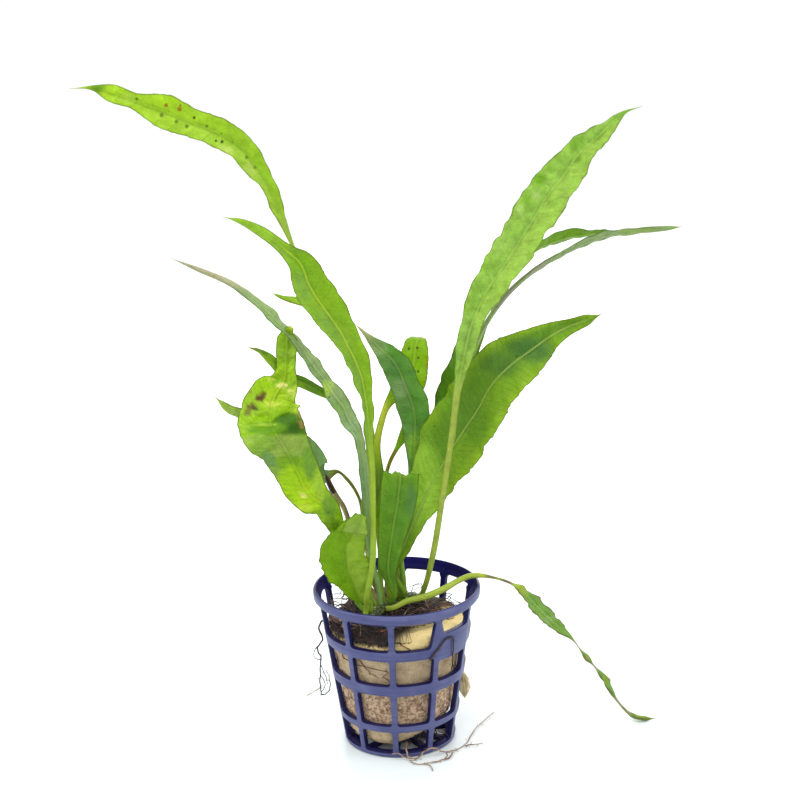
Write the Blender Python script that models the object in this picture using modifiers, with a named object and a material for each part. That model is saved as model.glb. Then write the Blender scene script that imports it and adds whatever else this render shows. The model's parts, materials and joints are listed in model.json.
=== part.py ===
# Potted java fern: a fern in a slatted plastic pot, with its rock wool plug and roots.
# Metres, +Z up, origin at the centre of the pot's base, the front of the plant towards -Y.

import math

import bmesh
import bpy
import numpy as np
from mathutils import Matrix, Vector

# Driving dimensions

MM = 0.001

POT_HEIGHT = 48.5 * MM
RIM_RADIUS = 25.0 * MM
WALL_TOP_RADIUS = 23.6 * MM
BASE_RADIUS = 16.8 * MM
WALL = 1.6 * MM
BASE_THICKNESS = 1.2 * MM
RIM_BAND = 3.1 * MM
CELLS = 10
FIRST_RIB = math.radians(-4.6)
RIB_WIDTH = 2.7 * MM
ROWS = ((36.5 * MM, 45.4 * MM), (24.7 * MM, 33.5 * MM), (11.0 * MM, 21.7 * MM), (2.4 * MM, 9.1 * MM))
LABEL_CELL = 1
LABEL_LOW = 31.8 * MM
LABEL_HIGH = 40.2 * MM
HUB_RADIUS = 6.0 * MM
SPOKE_WIDTH = 2.0 * MM
BASE_RING = 2.4 * MM
TURN_STEPS = 30

WOOL_LOW = 4.6 * MM
WOOL_TOP = 38.4 * MM
WOOL_CLEARANCE = 0.5 * MM
WOOL_EDGE = 1.5 * MM
WOOL_RISE = 3.0 * MM
WOOL_LUMP = 0.45 * MM
BEARD_LOW = 33.4 * MM
BEARD_HIGH = 38.3 * MM
BEARD_DEPTH = 0.7 * MM
BEARD_CLEARANCE = 0.35 * MM
BEARD_ROOM = 0.9 * MM
BEARD_SPAN = (math.radians(-76), math.radians(-6))
TUFT_CENTRE = (math.radians(86), 19.6 * MM, 16.3 * MM)
TUFT_SIZE = (1.5 * MM, 1.9 * MM, 3.9 * MM)
MAT_LOW = 38.9 * MM
MAT_TOP = 40.0 * MM
MAT_CENTRE = (-3.2 * MM, -1.5 * MM)
MAT_REACH = 13.5 * MM
RHIZOME_RADIUS = 2.0 * MM
RHIZOME = ((-10, -12, 42.0), (-6, -6, 42.3), (-2, -1, 42.4), (3, 3, 42.4), (8, 5, 42.2))
FINE_ROOT = 0.35 * MM
BLADE = 0.4 * MM
STALK = 0.8 * MM
FOOT_CLEARANCE = 0.35 * MM
KNEE = 2.4 * MM
STALK_THINNING = 0.04 * MM
WIDEST_STALK = 1.3 * MM
THINNEST = 0.25 * MM
RING_POINTS = 8
RINGS_PER_STATION = 1.15

# Finishes: colour, roughness

FINISHES = {
    "pot_plastic": ((0.075, 0.082, 0.17), 0.35),
    "rock_wool": ((0.62, 0.50, 0.34), 0.95),
    "rhizome": ((0.16, 0.22, 0.05), 0.6),
    "root": ((0.10, 0.06, 0.035), 0.8),
    "pale_root": ((0.38, 0.27, 0.16), 0.8),
    "leaf_bright": ((0.26, 0.50, 0.03), 0.4),
    "leaf_deep": ((0.12, 0.34, 0.03), 0.4),
    "leaf_pale": ((0.27, 0.42, 0.14), 0.45),
    "dead_stem": ((0.16, 0.10, 0.05), 0.8),
}

# Fronds, named by their look. Each has where it springs from the rhizome (share of its length, degrees
# round it), how far its halves fold up about the rib in degrees, a finish, and its stations in mm from
# foot to tip: across, back, up, half width, and the turn of the blade about its rib in degrees.

FRONDS = {
    "frond_tall_left": ((0.29, 128), 12, "leaf_bright", (
        (-7, 6, 66, 0.8, 10), (-7.5, 10.5, 92, 0.8, 20), (-8.7, 12, 111.5, 0.8, 30),
        (-13.8, 13.5, 123.4, 0.7, 35), (-23, 14.5, 138, 0.6, 35), (-28, 15, 149.5, 0.6, 35),
        (-30, 15, 155, 1.1, 35), (-32, 15, 160.5, 1.9, 35), (-34.5, 15, 167.5, 2.4, 35),
        (-38.5, 15, 173.5, 3.5, 35), (-42.5, 14.5, 179, 4.1, 35), (-49.5, 14, 183.2, 4.3, 35),
        (-56, 13, 186, 4.3, 35), (-63.5, 11.5, 189.5, 4.9, 32), (-71, 10, 192.6, 2.3, 30),
        (-77, 9, 195, 2.6, 28), (-81.5, 8, 196.6, 0.9, 25), (-88, 6, 196.8, 0.3, 10))),
    "frond_front_left": ((0.02, 80), 22, "leaf_bright", (
        (-8.8, -14.6, 49.6, 0.9, 0), (-6.5, -17.8, 63.5, 0.9, 5), (-6.2, -17.8, 75, 0.9, 10),
        (-6, -17.5, 88, 1.0, 25), (-6.9, -17, 103.2, 1.7, 40), (-7.4, -17, 111.6, 2.6, 42),
        (-8.7, -17.2, 118.5, 3.4, 42), (-11.4, -17.6, 125.3, 4.3, 40), (-14.1, -18, 131.1, 4.6, 38),
        (-18.1, -19, 137.5, 5.4, 33), (-21.8, -19.6, 144.1, 5.3, 25), (-24, -20.5, 150.5, 3.7, 20),
        (-27.2, -21.5, 153.9, 2.1, 15), (-34.6, -24, 160.4, 1.4, 12), (-39, -25, 162.9, 0.8, 10),
        (-43.7, -26, 164.4, 0.3, 10))),
    "frond_small_left": ((0.41, 102), 10, "leaf_deep", (
        (-4.7, 4.2, 58, 0.7, 10), (-5.1, 6, 79, 0.7, 10), (-8.2, 9.3, 106, 0.8, 20),
        (-11.5, 10.3, 117.5, 0.9, 30), (-17.5, 11.5, 128.5, 1.3, 35), (-22, 12, 132.5, 1.6, 38),
        (-26.6, 12, 133.4, 1.5, 40), (-31, 12, 134.4, 0.7, 40), (-34.6, 11, 136.3, 0.3, 40))),
    "frond_thin_left": ((0.33, 92), 14, "leaf_pale", (
        (-7.8, -3, 62.4, 0.8, 5), (-7.8, -4.5, 72.3, 1.1, 15), (-8.3, -5.5, 82.4, 1.7, 20),
        (-9, -7, 92, 1.6, 28), (-10.4, -8.5, 99.1, 1.8, 30), (-12.4, -9.5, 102.6, 2.6, 30),
        (-13.7, -10.5, 106.5, 2.4, 30), (-16.8, -11.5, 111.5, 2.7, 30), (-18.8, -12.5, 115.5, 1.7, 40),
        (-22.1, -13, 120.2, 2.3, 45), (-25.1, -13.5, 125.3, 1.6, 50), (-29.6, -14, 130.9, 1.7, 55),
        (-36.2, -14.5, 138.1, 1.6, 55), (-43.2, -15, 144, 1.1, 60), (-52.3, -15.6, 148.5, 0.7, 60),
        (-60.8, -16, 152.4, 0.4, 60))),
    "frond_pointed_left": ((0.21, 135), 12, "leaf_deep", (
        (-9.8, 0, 62, 0.8, 10), (-8.8, 0, 84, 0.8, 15), (-9.6, -1.5, 91.7, 0.8, 18),
        (-10.4, -3, 97.6, 0.9, 20), (-13.9, -7, 105.8, 1.0, 25), (-16.6, -9.5, 109.3, 1.1, 28),
        (-20.9, -12, 112.4, 1.6, 30), (-24.8, -15.5, 115.6, 1.9, 33), (-28.8, -16.8, 117.7, 2.3, 35),
        (-31.7, -17, 120.5, 1.8, 36), (-34.2, -17, 123.5, 1.5, 38), (-37, -17, 125.6, 0.7, 40),
        (-40.6, -17, 126.8, 0.3, 40))),
    "frond_folded": ((0.14, 150), 8, "leaf_bright", (
        (-13, -10, 59.5, 1.4, 5), (-17, -13.5, 72.5, 2.6, 8), (-19.3, -15.5, 78.4, 3.8, 8),
        (-23.5, -18, 83, 5.4, 10), (-27.6, -22.3, 93.5, 6.4, 12), (-30, -26, 100.2, 7.1, 14),
        (-32.3, -28.5, 105.3, 8.7, 15), (-33.3, -24, 106.1, 8.6, 15), (-33.8, -17, 107.7, 8.3, 12),
        (-32.3, -12, 111.3, 6.3, 8), (-30.8, -10, 114.5, 4.8, 5), (-30, -9, 118.5, 3.3, 2),
        (-30, -9, 122, 2.6, 0), (-29.3, -9.5, 125.2, 2.8, 0), (-29.3, -10, 127.6, 1.8, -5),
        (-28.4, -10.5, 130, 0.5, -10))),
    "frond_back_left": ((0.50, 152), 10, "leaf_deep", (
        (-9.4, 8, 63, 0.8, 15), (-10.7, 7, 74, 0.7, 20), (-14, 5.5, 80.3, 0.8, 35),
        (-16.6, 4.5, 83, 0.7, 40), (-20.8, 3.3, 82, 2.6, 35), (-24, 2.2, 83.5, 5.8, 28),
        (-26.8, 1, 89.2, 6.5, 25),
        (-31, -1, 94.2, 5.5, 25), (-36.2, -3, 99.2, 3.9, 28), (-40.3, -4.2, 102.2, 2.5, 30),
        (-43.3, -5, 104, 1.8, 30), (-46.6, -5.6, 105.8, 1.5, 30), (-51, -7, 110.3, 0.3, 30))),
    "frond_short": ((0.12, 88), 8, "leaf_bright", (
        (-10.5, -11.6, 48.5, 1.5, 0), (-12.8, -12.8, 54.6, 5.2, -3), (-14.5, -14, 60.6, 7.4, -5),
        (-14.5, -15.8, 66.2, 6.5, -5), (-12.6, -17.6, 71, 4.7, -5), (-10.6, -19.2, 75, 3.0, -5),
        (-9.3, -21, 77.8, 1.8, -5), (-9.8, -22.8, 77, 2.4, -5), (-10.8, -23.6, 75.2, 3.4, -5),
        (-11.2, -24, 73.4, 3.8, -5))),
    "frond_torn": ((0.46, 52), 10, "leaf_deep", (
        (-2.3, -4.5, 54.6, 2.5, 8), (-0.7, -5.2, 67.4, 4.3, 12), (1.2, -5.5, 78, 5.5, 14),
        (2.1, -5.5, 85.3, 5.4, 14))),
    "frond_broad_right": ((0.62, 50), 18, "leaf_deep", (
        (-0.7, -0.5, 52, 1.2, 0), (2.5, 0, 60.7, 2.3, -8), (6.2, 0.6, 68.8, 4.3, -14),
        (10.5, 1, 77.8, 7.1, -20), (15.5, 0.7, 87, 9.8, -22), (19.8, -0.8, 94.6, 10.8, -22),
        (24.6, -2.5, 102.3, 10.6, -20),
        (29.3, -6.5, 111.9, 9.1, -14), (34.5, -9.5, 118, 8.3, -12), (39.6, -12.5, 122.3, 6.7, -10),
        (44.2, -15, 126, 5.0, -9), (48.6, -17.5, 129, 3.1, -8), (53.8, -20, 131.8, 1.2, -4),
        (57, -21.5, 133.6, 0.4, 0))),
    "frond_tall_right": ((0.94, 48), 10, "leaf_bright", (
        (11, -4.4, 59.3, 0.9, 0), (13.9, -9, 78.1, 0.9, -3), (16.9, -11.3, 97.1, 1.0, -8),
        (19.3, -10.2, 113.3, 1.5, -12), (21.3, -8.5, 121.9, 2.8, -15), (23.5, -6, 129.4, 3.4, -17),
        (26, -3.2, 134.2, 4.2, -19), (29.5, -1, 139.8, 5.3, -21), (34.5, 2, 146.2, 6.1, -22),
        (43, 7.5, 158, 6.7, -22), (47.2, 10.5, 163.8, 6.9, -21), (51.3, 13.5, 167.9, 6.2, -20),
        (56.2, 16.5, 174, 4.9, -18), (61.6, 20, 178, 3.4, -15), (66.5, 22.6, 182, 2.0, -13),
        (70.2, 24.5, 184.7, 0.6, -12), (75.8, 27, 186.1, 0.3, -10))),
    "frond_arching_right": ((0.59, 150), 10, "leaf_pale", (
        (-0.6, 10.4, 51, 0.8, -10), (4, 11, 60, 0.8, -20), (11, 15.5, 83, 0.9, -40),
        (20.3, 16.8, 106.4, 1.1, -50),
        (27.8, 18, 122.5, 1.6, -60), (32.5, 18.7, 129.4, 1.5, -62), (36.3, 19, 133.7, 1.2, -64),
        (40.8, 19.3, 137.6, 1.0, -66), (45.3, 19.6, 141.1, 1.2, -68), (50.2, 20, 143.4, 3.0, -70),
        (56, 20.7, 145.2, 4.2, -72), (61.3, 21.2, 146.9, 4.2, -73), (67, 21.6, 148.5, 3.7, -74),
        (72.2, 22, 149.4, 3.3, -74), (79.3, 22, 150.1, 2.1, -72), (88, 22, 150.7, 0.4, -70))),
    "frond_dark_right": ((0.67, 132), 10, "leaf_deep", (
        (1.5, 13.5, 52, 0.8, -10), (4, 14.5, 59, 0.8, -15), (10, 15.5, 67, 0.8, -20),
        (18, 21, 92, 0.9, -30), (26, 26, 113, 1.3, -40),
        (34.7, 29, 132.6, 2.2, -52), (40, 30, 139.8, 2.8, -58), (46.4, 30.5, 144, 3.4, -64),
        (54, 31, 146.2, 3.8, -68),
        (59.6, 31.2, 147.2, 3.2, -70), (64, 31.4, 148.2, 1.6, -70), (67.5, 31.5, 148.8, 0.5, -70))),
    "frond_centre": ((0.69, 84), 16, "leaf_deep", (
        (1.3, 4, 60, 0.9, 0), (4, 6, 72, 1.0, 0), (5.8, 6.8, 83.5, 1.5, 2), (6.5, 7, 92, 3.3, 5),
        (6.6, 6.4, 98.7, 4.3, 8), (5.7, 5.7, 103.8, 4.8, 10), (4.1, 4.8, 108.3, 4.3, 12),
        (1.7, 3.2, 115, 4.2, 15), (-1.1, 2, 119, 3.3, 18), (-4.5, 0.6, 122.7, 1.7, 20),
        (-7.4, -1, 126.2, 0.6, 20), (-10.2, -2.4, 129.5, 0.3, 20))),
    "frond_spotted": ((0.50, 96), 8, "leaf_bright", (
        (-4.4, 0.5, 59, 0.9, 0), (-4.3, -0.5, 72, 1.7, 8), (-4.5, -0.5, 83.8, 1.7, 10),
        (-4.8, 1.3, 91.6, 1.2, 10), (-3.5, 4, 97.2, 1.0, 10), (-1.2, 7, 102.6, 1.2, 10),
        (1.4, 9, 105.5, 2.4, 8), (4.8, 10.6, 108.1, 4.9, 6),
        (6.5, 12.8, 112.4, 4.5, 4), (7.2, 14.8, 116.2, 4.1, 0), (7.7, 17, 118.7, 3.3, 0),
        (8.4, 19.5, 119.5, 2.4, 0), (9.2, 22, 118.9, 1.2, 0))),
    "frond_young": ((0.75, 118), 10, "leaf_bright", (
        (0.7, 7.8, 50, 0.6, 0), (-1.5, 8.8, 66, 0.6, 0), (-2.5, 9.5, 79, 0.6, 0), (-0.8, 10.2, 84.5, 0.6, 0),
        (1, 11, 87.6, 0.7, 0),
        (2.7, 12, 90.4, 1.3, 0), (4.9, 13.6, 94.3, 1.8, 0), (7.4, 15, 98.5, 1.2, 0),
        (9.6, 16, 101.9, 0.3, 0))),
    "frond_hidden_right": ((0.62, 95), 12, "leaf_deep", (
        (0.9, 6.2, 54, 0.8, -5), (5, 8.5, 63, 0.9, -10), (11.6, 9.5, 81, 1.9, -18), (15, 12, 95, 3.9, -22),
        (17.7, 14, 102.5, 4.8, -25), (20.5, 14, 112.3, 3.9, -25), (22.9, 13.8, 120.5, 2.6, -25),
        (24.6, 13.5, 129, 0.3, -25))),
    "frond_trailing": ((0.36, 18), 14, "leaf_deep", (
        (2.6, -6, 45.4, 0.9, 0), (9, -5.9, 47, 1.0, -10), (14.2, -3.9, 48.4, 1.0, -25),
        (18.8, -0.6, 49.7, 0.9, -40), (22.4, 1.2, 50.3, 0.9, -50), (25.7, 1.7, 50.1, 0.9, -50),
        (28.6, 2, 49.4, 0.6, -50), (32.5, 2, 48.2, 0.55, -45), (35.7, 2.4, 46.4, 0.6, -40),
        (38, 2.8, 44.4, 1.3, -35), (40.4, 3, 41.3, 2.1, -25), (43.6, 3.2, 37.6, 2.4, -20),
        (46.8, 3.4, 34.2, 2.3, -20), (50.1, 3.6, 30.9, 1.8, -30), (52.8, 3.8, 28.4, 0.9, -40),
        (58, 4.1, 21.1, 0.9, -50), (62.6, 4.3, 15.1, 1.3, -55), (64.3, 4.4, 12, 1.2, -55),
        (66, 4.5, 8.5, 0.8, -60), (68.7, 4.5, 4.8, 0.8, -70), (71.4, 4.5, 2.2, 0.8, -80),
        (73.3, 4.2, 1.4, 0.9, -85), (79.3, 4, 0.7, 0.3, -85))),
}

DEAD_STALK = ((0.42, 150), 0, "dead_stem", (
    (-12.6, 3, 63, 0.7, 0), (-15.2, 0.5, 73.5, 0.8, 0), (-17, -2.2, 77.5, 0.9, 0), (-18.4, -4, 81, 0.9, 0),
    (-19.8, -5.4, 85.5, 0.6, 0)))

# Single roots that hang out of the pot or lie on the table, as routes in mm

ROOTS = {
    "root_left": ("root", (
        (-20.6, -1.4, 37.5), (-22.6, -1.6, 38.2), (-23.6, -2, 36), (-22.6, -2.4, 32.6), (-24.3, -2.6, 29.8),
        (-23.4, -2.8, 27), (-23.7, -3, 22.8), (-23.8, -3, 17.5), (-23.6, -3, 14.6))),
    "root_left_branch": ("root", ((-24.6, -3.2, 16.6), (-26.4, -3.4, 15.6), (-28.3, -3.6, 14.7))),
    "root_left_hook": ("root", (
        (-22.8, -3.2, 14.8), (-20.9, -3.4, 17), (-20.9, -3.4, 20), (-21.8, -3.2, 22.8))),
    "root_table": ("pale_root", (
        (1.9, -13.6, 3.6), (1.7, -17, 3.3), (2.2, -18.8, 1.6), (4.9, -18.2, 0.6), (7.4, -16.8, 2.2),
        (9.5, -16.6, 3), (11.3, -15.8, 2), (12.8, -14.6, 0.6), (15.9, -13.6, 0.5), (19.2, -10.4, 0.5),
        (21.6, -3.6, 0.5), (23.4, 1, 0.5), (29.5, 11.8, 0.5))),
    "root_table_side": ("pale_root", ((20, -10.8, 0.5), (22.4, -10, 0.5), (24.9, -9.3, 0.5))),
    "root_table_front": ("pale_root", (
        (15.6, -14.6, 0.5), (14.6, -18, 0.5), (12.2, -19.4, 0.5), (8, -21.3, 0.5), (4.2, -21.1, 0.5),
        (2.6, -19.3, 0.5))),
}

# The bent root over the blank plate, as degrees round from the front and height in mm, and how far
# it stands off the wall
BENT_ROOT = ((24.5, 32.6), (30, 35), (38.5, 38.3), (43.5, 38.4), (46.5, 34), (47.5, 29), (47.5, 26.8))
BENT_ROOT_STANDOFF = 0.75 * MM


# Helpers

def clear_objects():
    for item in list(bpy.data.objects):
        bpy.data.objects.remove(item, do_unlink=True)


def new_collection(name):
    group = bpy.data.collections.new(name)
    bpy.context.scene.collection.children.link(group)
    return group


def finish_material(node, finish):
    colour, roughness = FINISHES[finish]
    material = bpy.data.materials.new(node)
    material.use_nodes = True
    shader = material.node_tree.nodes["Principled BSDF"]
    shader.inputs["Base Color"].default_value = (*colour, 1)
    shader.inputs["Roughness"].default_value = roughness
    return material


def add_mesh(name, bm, group, finish=None):
    mesh = bpy.data.meshes.new(name)
    bm.to_mesh(mesh)
    bm.free()
    item = bpy.data.objects.new(name, mesh)
    group.objects.link(item)
    if finish:
        mesh.materials.append(finish_material(name, finish))
        mesh.shade_smooth()
    return item


def smooth_route(points, count):
    """Points at even shares of a smooth curve through the given points; extra columns follow along."""
    given = np.array(points, dtype=float)
    chords = np.linalg.norm(np.diff(given[:, :3], axis=0), axis=1)
    reach = np.concatenate([[0], np.cumsum(chords)])
    slopes = np.gradient(given, reach, axis=0)
    shares = np.linspace(0, len(given) - 1, count)
    route = []
    for share in shares:
        start = min(int(share), len(given) - 2)
        t = share - start
        step = reach[start + 1] - reach[start]
        route.append(
            (2 * t**3 - 3 * t**2 + 1) * given[start]
            + (t**3 - 2 * t**2 + t) * step * slopes[start]
            + (3 * t**2 - 2 * t**3) * given[start + 1]
            + (t**3 - t**2) * step * slopes[start + 1])
    return np.array(route)


def wall_radius(height):
    """Outer radius of the pot's wall at a height."""
    slope = (WALL_TOP_RADIUS - BASE_RADIUS) / (POT_HEIGHT - RIM_BAND)
    return BASE_RADIUS + slope * min(height, POT_HEIGHT - RIM_BAND)


def around(angle, radius, height):
    """A point at an angle round from the front of the pot."""
    return Vector((radius * math.sin(angle), -radius * math.cos(angle), height))


# Pot

def wedge(bm, angle, near, far, low, high, low_edges, high_edges):
    """A tapered block that points outwards; the edges are its left and right sides at each height."""
    block = bmesh.ops.create_cube(bm, size=2)["verts"]
    for vert in block:
        edges = high_edges if vert.co.z > 0 else low_edges
        side = edges[1] if vert.co.x > 0 else edges[0]
        reach = far if vert.co.y < 0 else near
        height = high if vert.co.z > 0 else low
        vert.co = Vector((side, -reach, height))
    bmesh.ops.rotate(bm, verts=block, cent=(0, 0, 0), matrix=Matrix.Rotation(angle, 3, "Z"))


def cell_angle(cell):
    return FIRST_RIB + (cell + 0.5) * 2 * math.pi / CELLS


def half_window(height):
    return wall_radius(height) * math.sin(math.pi / CELLS) - RIB_WIDTH / 2


def window_cutter(row, group):
    low, high = ROWS[row]
    reach = 4 * MM
    flare = 1.3 * MM
    bm = bmesh.new()
    for cell in range(CELLS):
        bottom, top = low, high
        left_flare = right_flare = 0
        if cell == LABEL_CELL and row == 0:
            bottom, left_flare = LABEL_HIGH, flare
        if cell == LABEL_CELL and row == 1:
            top = LABEL_LOW
        if cell == LABEL_CELL - 1 and row == 0:
            right_flare = flare
        low_half, high_half = half_window(bottom), half_window(top)
        wedge(
            bm, cell_angle(cell), wall_radius(bottom) - reach, wall_radius(top) + reach, bottom, top,
            (left_flare - low_half, low_half - right_flare), (-high_half, high_half))
    return add_mesh(f"window_cutter_{row + 1}", bm, group)


def base_cutter(group):
    outer = BASE_RADIUS - BASE_RING
    near_half = HUB_RADIUS * math.sin(math.pi / CELLS) - SPOKE_WIDTH / 4
    far_half = outer * math.sin(math.pi / CELLS) - SPOKE_WIDTH / 2
    bm = bmesh.new()
    for cell in range(CELLS):
        block = bmesh.ops.create_cube(bm, size=2)["verts"]
        for vert in block:
            is_far = vert.co.y < 0
            half = far_half if is_far else near_half
            side = math.copysign(half, vert.co.x)
            vert.co = Vector((side, -(outer if is_far else HUB_RADIUS), vert.co.z * 2 * MM))
        turn = Matrix.Rotation(cell_angle(cell), 3, "Z")
        bmesh.ops.rotate(bm, verts=block, cent=(0, 0, 0), matrix=turn)
    return add_mesh("base_cutter", bm, group)


def make_pot(parts, cutters):
    wall_top = POT_HEIGHT - RIM_BAND
    lip = 0.4 * MM
    floor_radius = wall_radius(BASE_THICKNESS) - WALL
    profile = (
        (0, BASE_THICKNESS), (floor_radius, BASE_THICKNESS), (WALL_TOP_RADIUS - WALL, wall_top),
        (RIM_RADIUS - 1.5 * MM, POT_HEIGHT), (RIM_RADIUS - lip, POT_HEIGHT), (RIM_RADIUS, POT_HEIGHT - lip),
        (RIM_RADIUS - 0.2 * MM, wall_top + lip), (WALL_TOP_RADIUS, wall_top), (BASE_RADIUS, 0), (0, 0))
    bm = bmesh.new()
    corners = [bm.verts.new((x, 0, z)) for x, z in profile]
    for first, second in zip(corners, corners[1:]):
        bm.edges.new((first, second))
    pot = add_mesh("net_pot", bm, parts, "pot_plastic")
    screw = pot.modifiers.new("turn", "SCREW")
    screw.steps = screw.render_steps = TURN_STEPS
    screw.use_merge_vertices = True
    screw.merge_threshold = 0.00001
    screw.use_smooth_shade = False
    for cutter in [window_cutter(row, cutters) for row in range(len(ROWS))] + [base_cutter(cutters)]:
        cutter.hide_render = True
        cutter.display_type = "WIRE"
        cut = pot.modifiers.new(cutter.name, "BOOLEAN")
        cut.operation = "DIFFERENCE"
        cut.object = cutter


# Wool and root mat

def lumps(point, seed):
    """A smooth wandering value between -1 and 1."""
    x, y, z = point
    return (
        math.sin(x * 1.7 + seed) * math.cos(y * 1.3 + 2 * seed)
        + math.sin(y * 2.1 + z * 1.1 + 3 * seed) * math.cos(x * 0.9 - z * 1.9)) / 2


def make_wool(parts):
    sides, levels = 26, 7
    bm = bmesh.new()
    bmesh.ops.create_cone(
        bm, cap_ends=True, cap_tris=False, segments=sides, radius1=1, radius2=1, depth=1)
    uprights = [e for e in bm.edges if abs(e.verts[0].co.z - e.verts[1].co.z) > 0.5]
    bmesh.ops.subdivide_edges(bm, edges=uprights, cuts=levels - 1, use_grid_fill=False)
    caps = [f for f in bm.faces if abs(f.normal.z) > 0.9]
    bmesh.ops.inset_region(bm, faces=caps, thickness=0.25)
    for vert in bm.verts:
        share = vert.co.z + 0.5
        height = WOOL_LOW + share * (WOOL_TOP - WOOL_LOW)
        spread = math.hypot(vert.co.x, vert.co.y)
        body = wall_radius(height) - WALL - WOOL_CLEARANCE
        if share < 0.01 or share > 0.99:
            body -= WOOL_EDGE
        if height > BEARD_LOW - WOOL_RISE:
            body -= BEARD_ROOM
        bump = WOOL_LUMP * lumps(vert.co * 8, 0.7)
        radius = (body + bump - WOOL_LUMP) * spread
        lift = (1 - share) * WOOL_RISE * max(0, vert.co.x + 0.2)
        vert.co = Vector((vert.co.x / spread * radius, vert.co.y / spread * radius, height + lift))
    bmesh.ops.triangulate(bm, faces=[f for f in bm.faces if len(f.verts) > 4])
    add_mesh("wool_plug", bm, parts, "rock_wool")


def make_wool_tuft(parts):
    centre = around(*TUFT_CENTRE)
    bm = bmesh.new()
    bmesh.ops.create_icosphere(bm, subdivisions=2, radius=1)
    for vert in bm.verts:
        shape = Vector(side * reach for side, reach in zip(vert.co, TUFT_SIZE))
        vert.co = centre + shape * (1 + 0.18 * lumps(vert.co * 3, 2.1))
    add_mesh("wool_tuft", bm, parts, "rock_wool")


def make_root_mat(parts):
    """The tangle of roots on top of the wool, wider at the left and front."""
    sides = 26
    bevel = 0.4 * MM
    bm = bmesh.new()
    bmesh.ops.create_cone(
        bm, cap_ends=True, cap_tris=False, segments=sides, radius1=1, radius2=1, depth=1)
    caps = [f for f in bm.faces if abs(f.normal.z) > 0.9]
    bmesh.ops.inset_region(bm, faces=caps, thickness=0.3)
    for vert in bm.verts:
        spread = math.hypot(vert.co.x, vert.co.y)
        angle = math.atan2(vert.co.y, vert.co.x)
        reach = MAT_REACH + (math.sin(5 * angle) + 0.5 * math.sin(9 * angle) - 1.5 * math.cos(angle)) * MM
        height = MAT_TOP if vert.co.z > 0 else MAT_LOW
        if spread > 0.99 and vert.co.z > 0:
            height -= bevel
        across, back = MAT_CENTRE
        vert.co = Vector((
            across + math.cos(angle) * spread * reach, back + math.sin(angle) * spread * reach, height))
    bmesh.ops.triangulate(bm, faces=[f for f in bm.faces if len(f.verts) > 4])
    add_mesh("root_mat", bm, parts, "root")


def make_root_beard(parts):
    """Hair roots that hang from the mat down the left front of the wool, behind the top windows."""
    start, end = BEARD_SPAN
    slices = 10
    bm = bmesh.new()
    bmesh.ops.create_cube(bm, size=1)
    lengthwise = [e for e in bm.edges if abs(e.verts[0].co.x - e.verts[1].co.x) > 0.5]
    bmesh.ops.subdivide_edges(bm, edges=lengthwise, cuts=slices - 1, use_grid_fill=True)
    for vert in bm.verts:
        angle = start + (vert.co.x + 0.5) * (end - start)
        height = BEARD_HIGH if vert.co.z > 0 else BEARD_LOW + 1.2 * MM * math.sin(7 * angle) ** 2
        inner = wall_radius(height) - WALL - BEARD_CLEARANCE - BEARD_DEPTH
        vert.co = around(angle, inner + (BEARD_DEPTH if vert.co.y < 0 else 0), height)
    bmesh.ops.recalc_face_normals(bm, faces=bm.faces)
    add_mesh("root_beard", bm, parts, "root")


# Rhizome and roots

def tube(name, points, radius, parts, finish, tapers=None):
    """A round tube along points, closed at both ends; tapers are its thickness at each point."""
    curve = bpy.data.curves.new(name, "CURVE")
    curve.dimensions = "3D"
    curve.bevel_depth = radius
    curve.bevel_resolution = 2
    curve.use_fill_caps = True
    spline = curve.splines.new("POLY")
    spline.points.add(len(points) - 1)
    for index, place in enumerate(points):
        spline.points[index].co = (*place, 1)
        spline.points[index].radius = tapers[index] if tapers else 1
    item = bpy.data.objects.new(name, curve)
    parts.objects.link(item)
    curve.materials.append(finish_material(name, finish))
    return item


def rhizome_route(count):
    return smooth_route(RHIZOME, count) * MM


def make_rhizome(parts):
    count = 12
    tapers = [0.55 + 0.45 * min(1, 4 * math.sin(math.pi * (i + 0.4) / (count - 0.2))) for i in range(count)]
    tube("rhizome", rhizome_route(count), RHIZOME_RADIUS, parts, "rhizome", tapers)


def make_roots(parts):
    for name, (finish, route) in ROOTS.items():
        count = 2 * len(route) - 1
        tapers = [1 - 0.55 * i / (count - 1) for i in range(count)]
        tube(name, smooth_route(route, count) * MM, FINE_ROOT, parts, finish, tapers)
    bent = []
    for degrees, height in BENT_ROOT:
        radius = wall_radius(height * MM) + BENT_ROOT_STANDOFF
        bent.append(around(math.radians(degrees), radius, height * MM))
    tube("root_bent", smooth_route(bent, 12), FINE_ROOT, parts, "root")


# Fronds

def foot(share, degrees):
    """Where a stalk leaves the rhizome: a point just off its skin and a knee further out."""
    route = rhizome_route(41)
    index = min(max(round(share * 40), 1), 39)
    along = route[index + 1] - route[index - 1]
    side = np.array([along[1], -along[0], 0])
    side /= np.linalg.norm(side)
    angle = math.radians(degrees)
    out = side * math.cos(angle) + np.array([0, 0, 1]) * math.sin(angle)
    return [route[index] + out * (RHIZOME_RADIUS + reach) for reach in (FOOT_CLEARANCE, KNEE)]


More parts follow.
